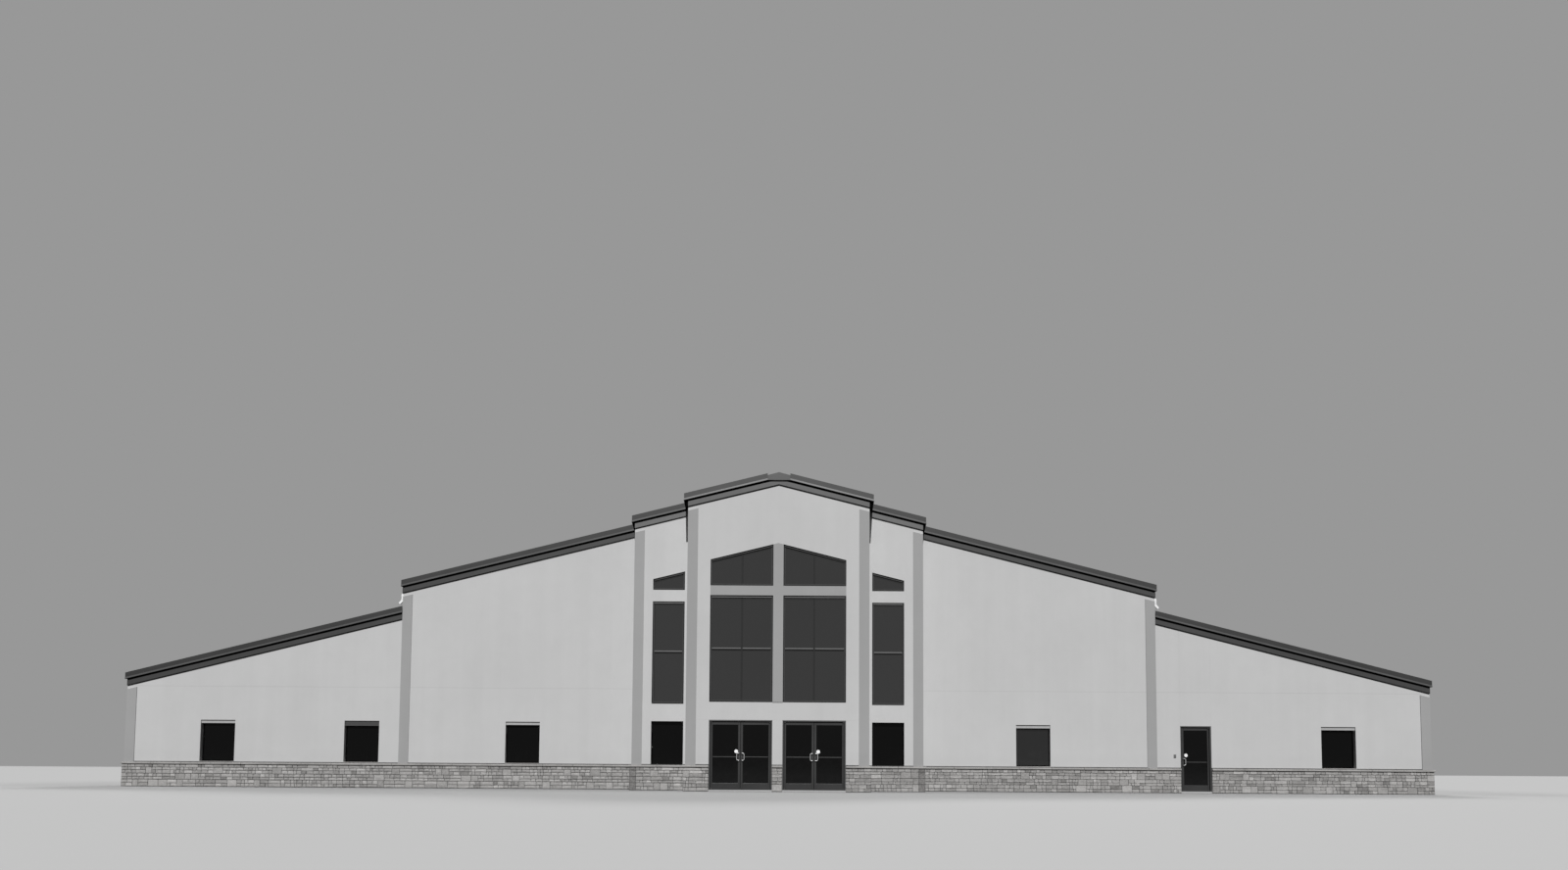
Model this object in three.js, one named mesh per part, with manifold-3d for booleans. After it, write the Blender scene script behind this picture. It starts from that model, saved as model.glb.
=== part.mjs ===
// A modern church building: a wide, low gable hall with lean-to wings and a stepped entrance front.
// Two projecting entrance bays carry the hall's roof forward over tall glazing with a cross in it.
// Every length below is the real building's, in millimetres. The whole is drawn at half size.
// X runs to the right along the front, Y runs back into the building, Z is up from the ground.
import * as THREE from "three";
import { mergeVertices } from "three/addons/utils/BufferGeometryUtils.js";
import Module from "manifold-3d";

const wasm = await Module();
wasm.setup();

const MODEL_SCALE = 0.5;
const GAP = 0.8; // hairline joint between neighbouring pieces
const LAP = 5; // overlap of blocks that are joined into one piece
const THROUGH = 50; // how far a cutter passes beyond the faces that it cuts

// Plan
const DEPTH = 36600; // front wall to back wall, over the faces
const WING_X = 21000; // half width over the wings
const HALL_X = 12190; // half width of the tall hall
const FLANK_X = 4540; // half width of the outer entrance bay
const CENTRE_X = 2770; // half width of the middle entrance bay
const FLANK_Y = -1250; // front faces of the two entrance bays
const CENTRE_Y = -2500;
const WALL = 200;
const FLOOR = 50;

// Roof: one pitch everywhere, given as the line of the fascia's lower edge
const PITCH = 0.25;
const HALL_LINE = 9350; // at the ridge, before it falls to either side
const WING_LINE = 8490;
const WALL_TOP = 60; // walls and roof sheet above that line
const SHEET_TOP = 300;
const FASCIA = 216;
const FASCIA_OUT = 53;
const EDGE_TOP = 432;
const RIDGE_TOP = 380; // where the edge is lower, in front of the ridge
const RIDGE_PLATE = 345;
const EDGE_OUT = 108;
const EAVE_OUT = 60;
const BAY_EAVE_OUT = 140;
const RIDGE_CAP = 380;
const RIDGE_RISE = 40;

// Stone base and the flat bands on the corners
const BASE_HEIGHT = 725;
const BASE_OUT = 60;
const CAP_TOP = 787;
const CAP_OUT = 90;
const BAND = 310;
const BAND_OUT = 30;
const BAND_BELOW_FASCIA = 120;
const SPOUT = { width: 70, bend: 190, heel: 40, toe: [110, 160], lip: [160, 105], y: [40, 120] };

// Openings
const HEAD = 2150; // doors and low windows
const SILL = 800;
const HALL_WINDOW = [7667, 8767];
const WING_WINDOW = [17480, 18590];
const INNER_WINDOW = [12840, 13960];
const WING_DOOR = [12950, 13940];
const ENTRY = [155, 2065]; // one of the two paired doorways
const TALL_SILL = 2693; // glazing over the entrance
const BEAM = [5943, 6240]; // the cross's arms
const TALL_HEAD = 7042; // at the jamb, rising to the middle
const FLANK_WINDOW = [2945, 3945];
const FLANK_LOW_SILL = 790;
const FLANK_HEAD = 5915; // of its tall light
const FLANK_TOP_HEAD = 6620; // at the outer jamb
const FLANK_TOP_SILL = 6280;
const CROSS_OUT = 20;
const GLASS = 14;
const GLASS_LAP = 60; // the sheets pass behind the edges of their openings
const FLANK_GLASS_TOP = 6970;
const SIDE_WINDOW_COUNT = 7;
const SIDE_WINDOW_WIDTH = 1110;

// Doors
const FRAME = 45;
const FRAME_SETBACK = 40;
const FRAME_DEPTH = 130;
const LEAF = 45;
const LEAF_CLEARANCE = 10.5;
const PIVOT_SETBACK = 18; // pivot line behind the frame's face
const PIVOT_TO_FACE = 12; // pivot line in front of the leaf's face
const PIVOT_RADIUS = 8;
const ARM_LENGTH = 40;
const ARM_HEIGHT = 30;
const HINGE_STILE = 52;
const LOCK_STILE = 66;
const TOP_RAIL = 85;
const BOTTOM_RAIL = 190;
const PANE = 12;
const PULL = { low: 925, high: 1165, stand: 55, bar: 24 };
const ENTRY_PULL_IN = 106; // bar of a pull, in from the leaf's free edge
const WING_PULL_IN = 78;

const finish = {
  wall: { color: 0xc6c6c6, roughness: 0.9, metalness: 0 },
  band: { color: 0x9d9d9d, roughness: 0.9, metalness: 0 },
  fascia: { color: 0x4c4c4c, roughness: 0.45, metalness: 0.3 },
  roof: { color: 0x666666, roughness: 0.4, metalness: 0.4 },
  stone: { color: 0x8c8c8c, roughness: 0.95, metalness: 0 },
  slab: { color: 0xa8a8a8, roughness: 0.9, metalness: 0 },
  glass: { color: 0x1c1c1c, roughness: 0.08, metalness: 0 },
  frame: { color: 0x2a2a2a, roughness: 0.5, metalness: 0.5 },
  spout: { color: 0xe8e8e8, roughness: 0.5, metalness: 0.1 },
};

const hallLine = (x) => HALL_LINE - PITCH * Math.abs(x);
const wingLine = (x) => WING_LINE - PITCH * Math.abs(x);
const mirrored = (points) => points.map(([x, z]) => [-x, z]);

// A section in X and Z, carried from y0 to y1.
function prism(points, y0, y1) {
  const shape = new THREE.Shape(points.map(([x, z]) => new THREE.Vector2(x, z)));
  const geometry = new THREE.ExtrudeGeometry(shape, { depth: y1 - y0, bevelEnabled: false });
  return solid(geometry.rotateX(Math.PI / 2).translate(0, y1, 0));
}

function box(x0, x1, y0, y1, z0, z1) {
  return prism([[x0, z0], [x1, z0], [x1, z1], [x0, z1]], y0, y1);
}

const POST_SIDES = 12;

function post(x, y, z0, z1, radius) {
  const geometry = new THREE.CylinderGeometry(radius, radius, z1 - z0, POST_SIDES);
  return solid(geometry.rotateX(Math.PI / 2).translate(x, y, (z0 + z1) / 2));
}

function solid(geometry) {
  geometry.deleteAttribute("normal");
  geometry.deleteAttribute("uv");
  const merged = mergeVertices(geometry, 1e-3);
  const vertProperties = new Float32Array(merged.attributes.position.array);
  const triVerts = new Uint32Array(merged.index.array);
  return new wasm.Manifold(new wasm.Mesh({ numProp: 3, vertProperties, triVerts }));
}

const join = (pieces) => pieces.reduce((all, piece) => all.add(piece));
const cut = (body, holes) => holes.reduce((rest, hole) => rest.subtract(hole), body);

const building = new THREE.Group();

function add(name, body, look) {
  const mesh = body.getMesh();
  const geometry = new THREE.BufferGeometry();
  const stride = mesh.numProp;
  const positions = new Float32Array(mesh.numVert * 3);
  for (let i = 0; i < mesh.numVert; i += 1) {
    positions.set(mesh.vertProperties.subarray(i * stride, i * stride + 3), i * 3);
  }
  geometry.setAttribute("position", new THREE.BufferAttribute(positions, 3));
  geometry.setIndex(new THREE.BufferAttribute(mesh.triVerts, 1));
  geometry.computeVertexNormals();
  const piece = new THREE.Mesh(geometry, new THREE.MeshStandardMaterial(look));
  piece.name = name;
  building.add(piece);
}

// A left piece and its mirror image on the right.
function addPair(name, make, look) {
  add(`${name}_left`, make(-1), look);
  add(`${name}_right`, make(1), look);
}

// The same section on either side: side is -1 for the left and 1 for the right.
function sidePrism(side, points, y0, y1) {
  return prism(side > 0 ? points : mirrored(points).reverse(), y0, y1);
}

function sideBox(side, x0, x1, y0, y1, z0, z1) {
  return sidePrism(side, [[x0, z0], [x1, z0], [x1, z1], [x0, z1]], y0, y1);
}

// A strip that follows a roof line between x0 and x1, low to high above the line.
function strip(side, line, x0, x1, low, high, y0, y1) {
  const points = [
    [x0, line(x0) + low],
    [x1, line(x1) + low],
    [x1, line(x1) + high],
    [x0, line(x0) + high],
  ];
  return sidePrism(side, points, y0, y1);
}

// Floor: one slab under all the walls, cut to the outline of the plan
function floorSlab() {
  return join([
    box(-WING_X, WING_X, 0, DEPTH, 0, FLOOR),
    box(-FLANK_X, FLANK_X, FLANK_Y, LAP, 0, FLOOR),
    box(-CENTRE_X, CENTRE_X, CENTRE_Y, FLANK_Y + LAP, 0, FLOOR),
  ]);
}

const BASE = FLOOR + GAP;

// Cuts a window through a wall that stands parallel to the front
function opening(side, span, y0, y1, sill = SILL, head = HEAD) {
  return sideBox(side, span[0], span[1], y0 - THROUGH, y1 + THROUGH, sill, head);
}

// Front wall of hall and wing, from the entrance bay to the outer corner
function frontOutline(from, to) {
  const top = [];
  if (to > HALL_X) {
    top.push([to, wingLine(to) + WALL_TOP]);
    top.push([Math.max(HALL_X, from), wingLine(Math.max(HALL_X, from)) + WALL_TOP]);
  }
  if (from < HALL_X) {
    const end = Math.min(to, HALL_X);
    top.push([end, hallLine(end) + WALL_TOP]);
    top.push([from, hallLine(from) + WALL_TOP]);
  }
  return [[from, BASE], [to, BASE], ...top];
}

function frontWallLeft() {
  const body = sidePrism(-1, frontOutline(FLANK_X, WING_X), 0, WALL);
  const spans = [HALL_WINDOW, INNER_WINDOW, WING_WINDOW];
  return cut(body, spans.map((span) => opening(-1, span, 0, WALL)));
}

function frontWallRight() {
  const body = sidePrism(1, frontOutline(FLANK_X, WING_DOOR[0]), 0, WALL);
  return cut(body, [opening(1, HALL_WINDOW, 0, WALL)]);
}

function frontWallRightEnd() {
  const body = sidePrism(1, frontOutline(WING_DOOR[1], WING_X), 0, WALL);
  return cut(body, [opening(1, WING_WINDOW, 0, WALL)]);
}

function wallOverWingDoor() {
  const x0 = WING_DOOR[0] + GAP;
  const x1 = WING_DOOR[1] - GAP;
  return prism([
    [x0, HEAD],
    [x1, HEAD],
    [x1, wingLine(x1) + WALL_TOP],
    [x0, wingLine(x0) + WALL_TOP],
  ], 0, WALL);
}

function flankWall(side) {
  const [x0, x1] = FLANK_WINDOW;
  const inner = CENTRE_X + GAP;
  const back = FLANK_Y + WALL;
  const front = sidePrism(side, [
    [inner, BASE],
    [FLANK_X, BASE],
    [FLANK_X, hallLine(FLANK_X) + WALL_TOP],
    [inner, hallLine(inner) + WALL_TOP],
  ], FLANK_Y, back);
  const returned = sidePrism(side, [
    [FLANK_X - WALL, BASE],
    [FLANK_X, BASE],
    [FLANK_X, hallLine(FLANK_X) + WALL_TOP],
    [FLANK_X - WALL, hallLine(FLANK_X - WALL) + WALL_TOP],
  ], back - LAP, -GAP);
  const top = sidePrism(side, [
    [x0, FLANK_TOP_SILL],
    [x1, FLANK_TOP_SILL],
    [x1, FLANK_TOP_HEAD],
    [x0, FLANK_TOP_HEAD + PITCH * (x1 - x0)],
  ], FLANK_Y - THROUGH, back + THROUGH);
  return cut(join([front, returned]), [
    top,
    opening(side, FLANK_WINDOW, FLANK_Y, back, TALL_SILL, FLANK_HEAD),
    opening(side, FLANK_WINDOW, FLANK_Y, back, FLANK_LOW_SILL, HEAD),
  ]);
}

// Middle bay: a jamb beside the doors, with the return wall behind it
function centreWall(side) {
  const inner = CENTRE_X - WALL;
  const back = FLANK_Y + WALL;
  const returned = sidePrism(side, [
    [inner, BASE],
    [CENTRE_X, BASE],
    [CENTRE_X, hallLine(CENTRE_X) + WALL_TOP],
    [inner, hallLine(inner) + WALL_TOP],
  ], CENTRE_Y + WALL + GAP, back);
  return join([
    sideBox(side, ENTRY[1], CENTRE_X, CENTRE_Y, CENTRE_Y + WALL, BASE, HEAD),
    sideBox(side, inner, CENTRE_X, CENTRE_Y, CENTRE_Y + 2 * WALL, BASE, HEAD),
    returned,
  ]);
}

function glazingOutline(inset) {
  const jamb = ENTRY[1] - inset;
  const head = TALL_HEAD - inset;
  return [
    [-jamb, TALL_SILL + inset],
    [jamb, TALL_SILL + inset],
    [jamb, head],
    [0, head + PITCH * jamb],
    [-jamb, head],
  ];
}

function centreUpperWall() {
  const foot = HEAD + GAP;
  const body = prism([
    [-CENTRE_X, foot],
    [CENTRE_X, foot],
    [CENTRE_X, hallLine(CENTRE_X) + WALL_TOP],
    [0, HALL_LINE + WALL_TOP],
    [-CENTRE_X, hallLine(CENTRE_X) + WALL_TOP],
  ], CENTRE_Y, CENTRE_Y + WALL);
  return cut(body, [prism(glazingOutline(0), CENTRE_Y - THROUGH, CENTRE_Y + WALL + THROUGH)]);
}

// The cross that divides the tall glazing
function windowCross() {
  const front = CENTRE_Y - CROSS_OUT;
  const back = CENTRE_Y + WALL / 2 - GAP;
  const arm = ENTRY[1] - GAP;
  const top = TALL_HEAD + PITCH * ENTRY[1] - 2 * GAP;
  const shoulder = top - PITCH * ENTRY[0];
  const upright = prism([
    [-ENTRY[0], TALL_SILL + GAP],
    [ENTRY[0], TALL_SILL + GAP],
    [ENTRY[0], shoulder],
    [0, top],
    [-ENTRY[0], shoulder],
  ], front, back);
  return upright.add(box(-arm, arm, front, back, BEAM[0], BEAM[1]));
}

function sideWall(side) {
  const inner = WING_X - WALL;
  const body = sidePrism(side, [
    [inner, BASE],
    [WING_X, BASE],
    [WING_X, wingLine(WING_X) + WALL_TOP],
    [inner, wingLine(inner) + WALL_TOP],
  ], WALL + GAP, DEPTH - WALL - GAP);
  const bay = DEPTH / SIDE_WINDOW_COUNT;
  const holes = [];
  for (let i = 0; i < SIDE_WINDOW_COUNT; i += 1) {
    const middle = bay * (i + 0.5);
    const y0 = middle - SIDE_WINDOW_WIDTH / 2;
    const y1 = y0 + SIDE_WINDOW_WIDTH;
    holes.push(sideBox(side, inner - THROUGH, WING_X + THROUGH, y0, y1, SILL, HEAD));
  }
  return cut(body, holes);
}

const CLERESTORY_FOOT = 400; // below the wing roof's line

// Short wall between the wing roof and the hall's eave
function clerestory(side) {
  const inner = HALL_X - WALL;
  const foot = wingLine(HALL_X) - CLERESTORY_FOOT;
  return sidePrism(side, [
    [inner, foot],
    [HALL_X, foot],
    [HALL_X, hallLine(HALL_X) + WALL_TOP],
    [inner, hallLine(inner) + WALL_TOP],
  ], WALL + GAP, DEPTH - WALL - GAP);
}

function backWall() {
  const half = [
    [WING_X, BASE],
    [WING_X, wingLine(WING_X) + WALL_TOP],
    [HALL_X, wingLine(HALL_X) + WALL_TOP],
    [HALL_X, hallLine(HALL_X) + WALL_TOP],
  ];
  const outline = [...half, [0, HALL_LINE + WALL_TOP], ...mirrored(half).reverse()];
  const holes = [];
  for (const side of [-1, 1]) {
    for (const span of [HALL_WINDOW, INNER_WINDOW, WING_WINDOW]) {
      holes.push(opening(side, span, DEPTH - WALL, DEPTH));
    }
  }
  return cut(prism(outline, DEPTH - WALL, DEPTH), holes);
}

// Roofs
function gableSheet(halfWidth, y0, y1) {
  const low = WALL_TOP + GAP;
  const eave = hallLine(halfWidth);
  const cap = SHEET_TOP + RIDGE_RISE;
  return prism([
    [-halfWidth, eave + low],
    [0, HALL_LINE + low],
    [halfWidth, eave + low],
    [halfWidth, eave + SHEET_TOP],
    [RIDGE_CAP, hallLine(RIDGE_CAP) + SHEET_TOP],
    [RIDGE_CAP, hallLine(RIDGE_CAP) + cap],
    [0, HALL_LINE + cap],
    [-RIDGE_CAP, hallLine(RIDGE_CAP) + cap],
    [-RIDGE_CAP, hallLine(RIDGE_CAP) + SHEET_TOP],
    [-halfWidth, eave + SHEET_TOP],
  ], y0, y1);
}

function hallRoof() {
  return join([
    gableSheet(HALL_X, 0, DEPTH),
    gableSheet(FLANK_X, FLANK_Y, LAP),
    gableSheet(CENTRE_X, CENTRE_Y, FLANK_Y + LAP),
  ]);
}

function wingRoof(side) {
  return strip(side, wingLine, HALL_X + GAP, WING_X, WALL_TOP + GAP, SHEET_TOP, 0, DEPTH);
}

// Fascia board from x0 to boardEnd, and the roof edge over it from x0 to x1; y and boardY are spans
function trim(side, line, x0, x1, boardEnd, y, boardY) {
  const board = strip(side, line, x0, boardEnd, 0, FASCIA + LAP, ...boardY);
  const raised = strip(side, line, Math.max(x0, RIDGE_PLATE), x1, RIDGE_TOP - LAP, EDGE_TOP, ...y);
  return board.add(strip(side, line, x0, x1, FASCIA, RIDGE_TOP, ...y)).add(raised);
}

// Along the roof's slope, in front of a wall's face
function rake(side, line, x0, halfWidth, face, out) {
  const y = [face - EDGE_OUT, face - GAP];
  return trim(side, line, x0, halfWidth + out, halfWidth, y, [face - FASCIA_OUT, face - GAP]);
}

function backRake(side, line, x0, halfWidth) {
  const y = [DEPTH + GAP, DEPTH + EDGE_OUT];
  return trim(side, line, x0, halfWidth + EAVE_OUT, halfWidth, y, [DEPTH + GAP, DEPTH + FASCIA_OUT]);
}

// Along the level side of a roof, from one face to the next; the board is half as far out as the edge
function eave(side, line, halfWidth, start, end, out) {
  const backEnd = end >= DEPTH ? end + EDGE_OUT : end;
  const y = [start - EDGE_OUT, backEnd];
  return trim(side, line, halfWidth + GAP, halfWidth + out, halfWidth + out / 2, y, [start, end]);
}

function hallTrim(side) {
  return join([
    rake(side, hallLine, GAP / 2, CENTRE_X, CENTRE_Y, BAY_EAVE_OUT),
    eave(side, hallLine, CENTRE_X, CENTRE_Y, FLANK_Y - GAP, BAY_EAVE_OUT),
    rake(side, hallLine, CENTRE_X + GAP, FLANK_X, FLANK_Y, BAY_EAVE_OUT),
    eave(side, hallLine, FLANK_X, FLANK_Y, -GAP, BAY_EAVE_OUT),
    rake(side, hallLine, FLANK_X + GAP, HALL_X, 0, EAVE_OUT),
    eave(side, hallLine, HALL_X, 0, DEPTH, EAVE_OUT),
    backRake(side, hallLine, GAP / 2, HALL_X),
  ]);
}

function wingTrim(side) {
  return join([
    rake(side, wingLine, HALL_X + GAP, WING_X, 0, EAVE_OUT),
    eave(side, wingLine, WING_X, 0, DEPTH, EAVE_OUT),
    backRake(side, wingLine, HALL_X + GAP, WING_X),
  ]);
}

// Spout from the hall's gutter, kicked out over the wing roof
function downspout(side) {
  const face = HALL_X + GAP;
  const outer = face + SPOUT.width;
  const top = hallLine(outer) - GAP;
  const bend = top - SPOUT.bend;
  return sidePrism(side, [
    [outer, top],
    [outer, bend],
    [face + SPOUT.lip[0], bend - SPOUT.lip[1]],
    [face + SPOUT.toe[0], bend - SPOUT.toe[1]],
    [face, bend - SPOUT.heel],
    [face, top],
  ], ...SPOUT.y);
}

// Stone base with a thin projecting cap, along boxes given as x0, x1, y0, y1 of the stone's own plan
function baseRun(side, runs) {
  const cap = CAP_OUT - BASE_OUT;
  const pieces = [];
  for (const { x, y, grow } of runs) {
    pieces.push(sideBox(side, x[0], x[1], y[0], y[1], 0, BASE_HEIGHT));
    const [left, right, front, back] = grow.map((edge) => edge * cap);
    const foot = BASE_HEIGHT - LAP;
    pieces.push(sideBox(side, x[0] - left, x[1] + right, y[0] - front, y[1] + back, foot, CAP_TOP));
  }
  return join(pieces);
}

function outerBase(side, from) {
  const outer = WING_X + BASE_OUT;
  return baseRun(side, [
    { x: [from, outer], y: [-BASE_OUT, -GAP], grow: [0, 1, 1, 0] },
    { x: [WING_X + GAP, outer], y: [-BASE_OUT, DEPTH + BASE_OUT], grow: [0, 1, 1, 1] },
    { x: [GAP / 2, outer], y: [DEPTH + GAP, DEPTH + BASE_OUT], grow: [0, 1, 0, 1] },
  ]);
}

const ENTRY_BASE_X = FLANK_X + CAP_OUT + GAP; // where the entrance's own base begins

function entryBase(side) {
  return baseRun(side, [
    { x: [FLANK_X + GAP, FLANK_X + BASE_OUT], y: [FLANK_Y - BASE_OUT, -GAP], grow: [0, 1, 1, 0] },
    { x: [CENTRE_X + GAP, FLANK_X + BASE_OUT], y: [FLANK_Y - BASE_OUT, FLANK_Y - GAP], grow: [0, 1, 1, 0] },
    {
      x: [CENTRE_X + GAP, CENTRE_X + BASE_OUT],
      y: [CENTRE_Y - BASE_OUT, FLANK_Y - GAP],
      grow: [0, 1, 1, 0],
    },
    { x: [ENTRY[1], CENTRE_X + BASE_OUT], y: [CENTRE_Y - BASE_OUT, CENTRE_Y - GAP], grow: [0, 1, 1, 0] },
  ]);
}

function band(side, halfWidth, line, face) {
  const inner = halfWidth - BAND;
  return sidePrism(side, [
    [inner, CAP_TOP + GAP],
    [halfWidth, CAP_TOP + GAP],
    [halfWidth, line(halfWidth) - BAND_BELOW_FASCIA],
    [inner, line(inner) - BAND_BELOW_FASCIA],
  ], face - BAND_OUT, face - GAP);
}

// Doors
function doorFrame(x0, x1, face) {
  const top = HEAD - GAP;
  return prism([
    [x0, BASE],
    [x0 + FRAME, BASE],
    [x0 + FRAME, top - FRAME],
    [x1 - FRAME, top - FRAME],
    [x1 - FRAME, BASE],
    [x1, BASE],
    [x1, top],
    [x0, top],
  ], face + FRAME_SETBACK, face + FRAME_SETBACK + FRAME_DEPTH);
}

// A glazed leaf hung at pivotX; toward is 1 where it reaches to the right of its pivot. Its pull stands
// on the free edge's stile, with the bar set over to pullIn from that edge.
function doorLeaf(pivotX, width, toward, face, pullIn) {
  const pivotY = face + FRAME_SETBACK + PIVOT_SETBACK;
  const front = pivotY + PIVOT_TO_FACE;
  const back = front + LEAF;
  const low = FLOOR + LEAF_CLEARANCE;
  const high = HEAD - GAP - FRAME - LEAF_CLEARANCE;
  const along = (a, b) => (toward > 0 ? [pivotX + a, pivotX + b] : [pivotX - b, pivotX - a]);
  const block = (a, b, y0, y1, z0, z1) => box(...along(a, b), y0, y1, z0, z1);
  const middle = (front + back) / 2;
  const light = [HINGE_STILE, width - LOCK_STILE];
  const lightZ = [low + BOTTOM_RAIL, high - TOP_RAIL];
  const panel = cut(block(0, width, front, back, low, high), [
    block(...light, front - LAP, middle - PANE / 2, ...lightZ),
    block(...light, middle + PANE / 2, back + LAP, ...lightZ),
  ]);
  const arm = (z0) => block(0, ARM_LENGTH, pivotY - PIVOT_RADIUS, front + LAP, z0, z0 + ARM_HEIGHT);
  const reach = front - PULL.stand;
  const grip = [reach, reach + PULL.bar];
  const mount = [width - (LOCK_STILE + PULL.bar) / 2, width - (LOCK_STILE - PULL.bar) / 2];
  const bar = [width - pullIn - PULL.bar / 2, width - pullIn + PULL.bar / 2];
  const pullEnd = (z0) => [
    block(...mount, reach, front + LAP, z0, z0 + PULL.bar),
    block(bar[0], mount[1], ...grip, z0, z0 + PULL.bar),
  ];
  return join([
    panel,
    arm(low),
    arm(high - ARM_HEIGHT),
    post(pivotX, pivotY, BASE, low + ARM_HEIGHT, PIVOT_RADIUS),
    post(pivotX, pivotY, high - ARM_HEIGHT, HEAD - 2 * GAP - FRAME, PIVOT_RADIUS),
    ...pullEnd(PULL.low),
    ...pullEnd(PULL.high - PULL.bar),
    block(...bar, ...grip, PULL.low, PULL.high),
  ]);
}

function leafWidth(x0, x1, leaves) {
  const clear = x1 - x0 - 2 * FRAME;
  return (clear - (leaves + 1) * LEAF_CLEARANCE) / leaves;
}

add("floor_slab", floorSlab(), finish.slab);
add("front_wall_left", frontWallLeft(), finish.wall);
add("front_wall_right", frontWallRight(), finish.wall);
add("front_wall_right_end", frontWallRightEnd(), finish.wall);
add("front_wall_over_door", wallOverWingDoor(), finish.wall);
addPair("flank_wall", flankWall, finish.wall);
addPair("centre_wall", centreWall, finish.wall);
add("centre_upper_wall", centreUpperWall(), finish.wall);
add("centre_door_pier", box(-ENTRY[0], ENTRY[0], CENTRE_Y, CENTRE_Y + WALL, BASE, HEAD), finish.wall);
add("window_cross", windowCross(), finish.band);
addPair("side_wall", sideWall, finish.wall);
addPair("clerestory_wall", clerestory, finish.wall);
add("back_wall", backWall(), finish.wall);

add("hall_roof", hallRoof(), finish.roof);
addPair("wing_roof", wingRoof, finish.roof);
addPair("hall_fascia", hallTrim, finish.fascia);
addPair("wing_fascia", wingTrim, finish.fascia);
addPair("downspout", downspout, finish.spout);

add("stone_base_left", outerBase(-1, ENTRY_BASE_X), finish.stone);
add("stone_base_right", outerBase(1, WING_DOOR[1]), finish.stone);
add("stone_base_right_inner", baseRun(1, [
  { x: [ENTRY_BASE_X, WING_DOOR[0]], y: [-BASE_OUT, -GAP], grow: [0, 0, 1, 0] },
]), finish.stone);
addPair("stone_base_entry", entryBase, finish.stone);
add("stone_base_pier", baseRun(1, [
  { x: [-ENTRY[0], ENTRY[0]], y: [CENTRE_Y - BASE_OUT, CENTRE_Y - GAP], grow: [0, 0, 1, 0] },
]), finish.stone);

addPair("wing_corner_band", (side) => band(side, WING_X, wingLine, 0), finish.band);
addPair("hall_corner_band", (side) => band(side, HALL_X, hallLine, 0), finish.band);
addPair("flank_corner_band", (side) => band(side, FLANK_X, hallLine, FLANK_Y), finish.band);
addPair("centre_corner_band", (side) => band(side, CENTRE_X, hallLine, CENTRE_Y), finish.band);

// Glass: one sheet behind a wall closes all the windows between x0 and x1
function sheet(side, x0, x1, face, z0 = SILL - GLASS_LAP, z1 = HEAD + GLASS_LAP) {
  const front = face + WALL + GAP;
  return sideBox(side, x0 - GLASS_LAP, x1 + GLASS_LAP, front, front + GLASS, z0, z1);
}

const glassMiddle = CENTRE_Y + WALL / 2;
add("centre_glass", prism(glazingOutline(GAP), glassMiddle, glassMiddle + GLASS), finish.glass);
addPair("flank_glass", (side) => (
  sheet(side, ...FLANK_WINDOW, FLANK_Y, FLANK_LOW_SILL - GLASS_LAP, FLANK_GLASS_TOP)
), finish.glass);
add("front_glass_left", sheet(-1, HALL_WINDOW[0], WING_WINDOW[1], 0), finish.glass);
add("hall_glass_right", sheet(1, ...HALL_WINDOW, 0), finish.glass);
add("wing_glass_right", sheet(1, ...WING_WINDOW, 0), finish.glass);
const SIDE_BAY = DEPTH / SIDE_WINDOW_COUNT;
const SIDE_START = (SIDE_BAY - SIDE_WINDOW_WIDTH) / 2 - GLASS_LAP;
const glassZ = [SILL - GLASS_LAP, HEAD + GLASS_LAP];
addPair("side_glass", (side) => {
  const outer = WING_X - WALL - GAP;
  return sideBox(side, outer - GLASS, outer, SIDE_START, DEPTH - SIDE_START, ...glassZ);
}, finish.glass);
const backFace = DEPTH - WALL - GAP;
const backEnd = WING_WINDOW[1] + GLASS_LAP;
add("back_glass", box(-backEnd, backEnd, backFace - GLASS, backFace, ...glassZ), finish.glass);

for (const side of [-1, 1]) {
  const word = side < 0 ? "left" : "right";
  const [near, far] = ENTRY;
  const x0 = side < 0 ? -far + GAP : near + GAP;
  const x1 = side < 0 ? -near - GAP : far - GAP;
  add(`entry_door_frame_${word}`, doorFrame(x0, x1, CENTRE_Y), finish.frame);
  const width = leafWidth(x0, x1, 2);
  const hang = FRAME + LEAF_CLEARANCE;
  add(`entry_${word}_door_a`, doorLeaf(x0 + hang, width, 1, CENTRE_Y, ENTRY_PULL_IN), finish.frame);
  add(`entry_${word}_door_b`, doorLeaf(x1 - hang, width, -1, CENTRE_Y, ENTRY_PULL_IN), finish.frame);
}
const wingDoor = [WING_DOOR[0] + GAP, WING_DOOR[1] - GAP];
add("wing_door_frame", doorFrame(...wingDoor, 0), finish.frame);
add("wing_door", doorLeaf(
  wingDoor[1] - FRAME - LEAF_CLEARANCE, leafWidth(...wingDoor, 1), -1, 0, WING_PULL_IN,
), finish.frame);

// The origin is under the middle of the whole building, on the ground.
const BACK_REACH = DEPTH + EDGE_OUT;
const FRONT_REACH = CENTRE_Y - EDGE_OUT;
const placed = new THREE.Group();
building.position.y = -(BACK_REACH + FRONT_REACH) / 2;
placed.add(building);
placed.scale.setScalar(MODEL_SCALE);
const group = new THREE.Group();
group.add(placed);

export default group;
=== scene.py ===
"""Looks of a modern church building: a wide gable hall with lean-to wings and a stepped entrance front.

Lengths are the real building's, in metres. X runs right along the front, Y runs back from the hall's
front wall and Z is up from the ground. Each finished mesh is carried into the half-size model.
"""

import math
import random

import bmesh
import bpy
from mathutils import Matrix, Vector, noise


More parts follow.
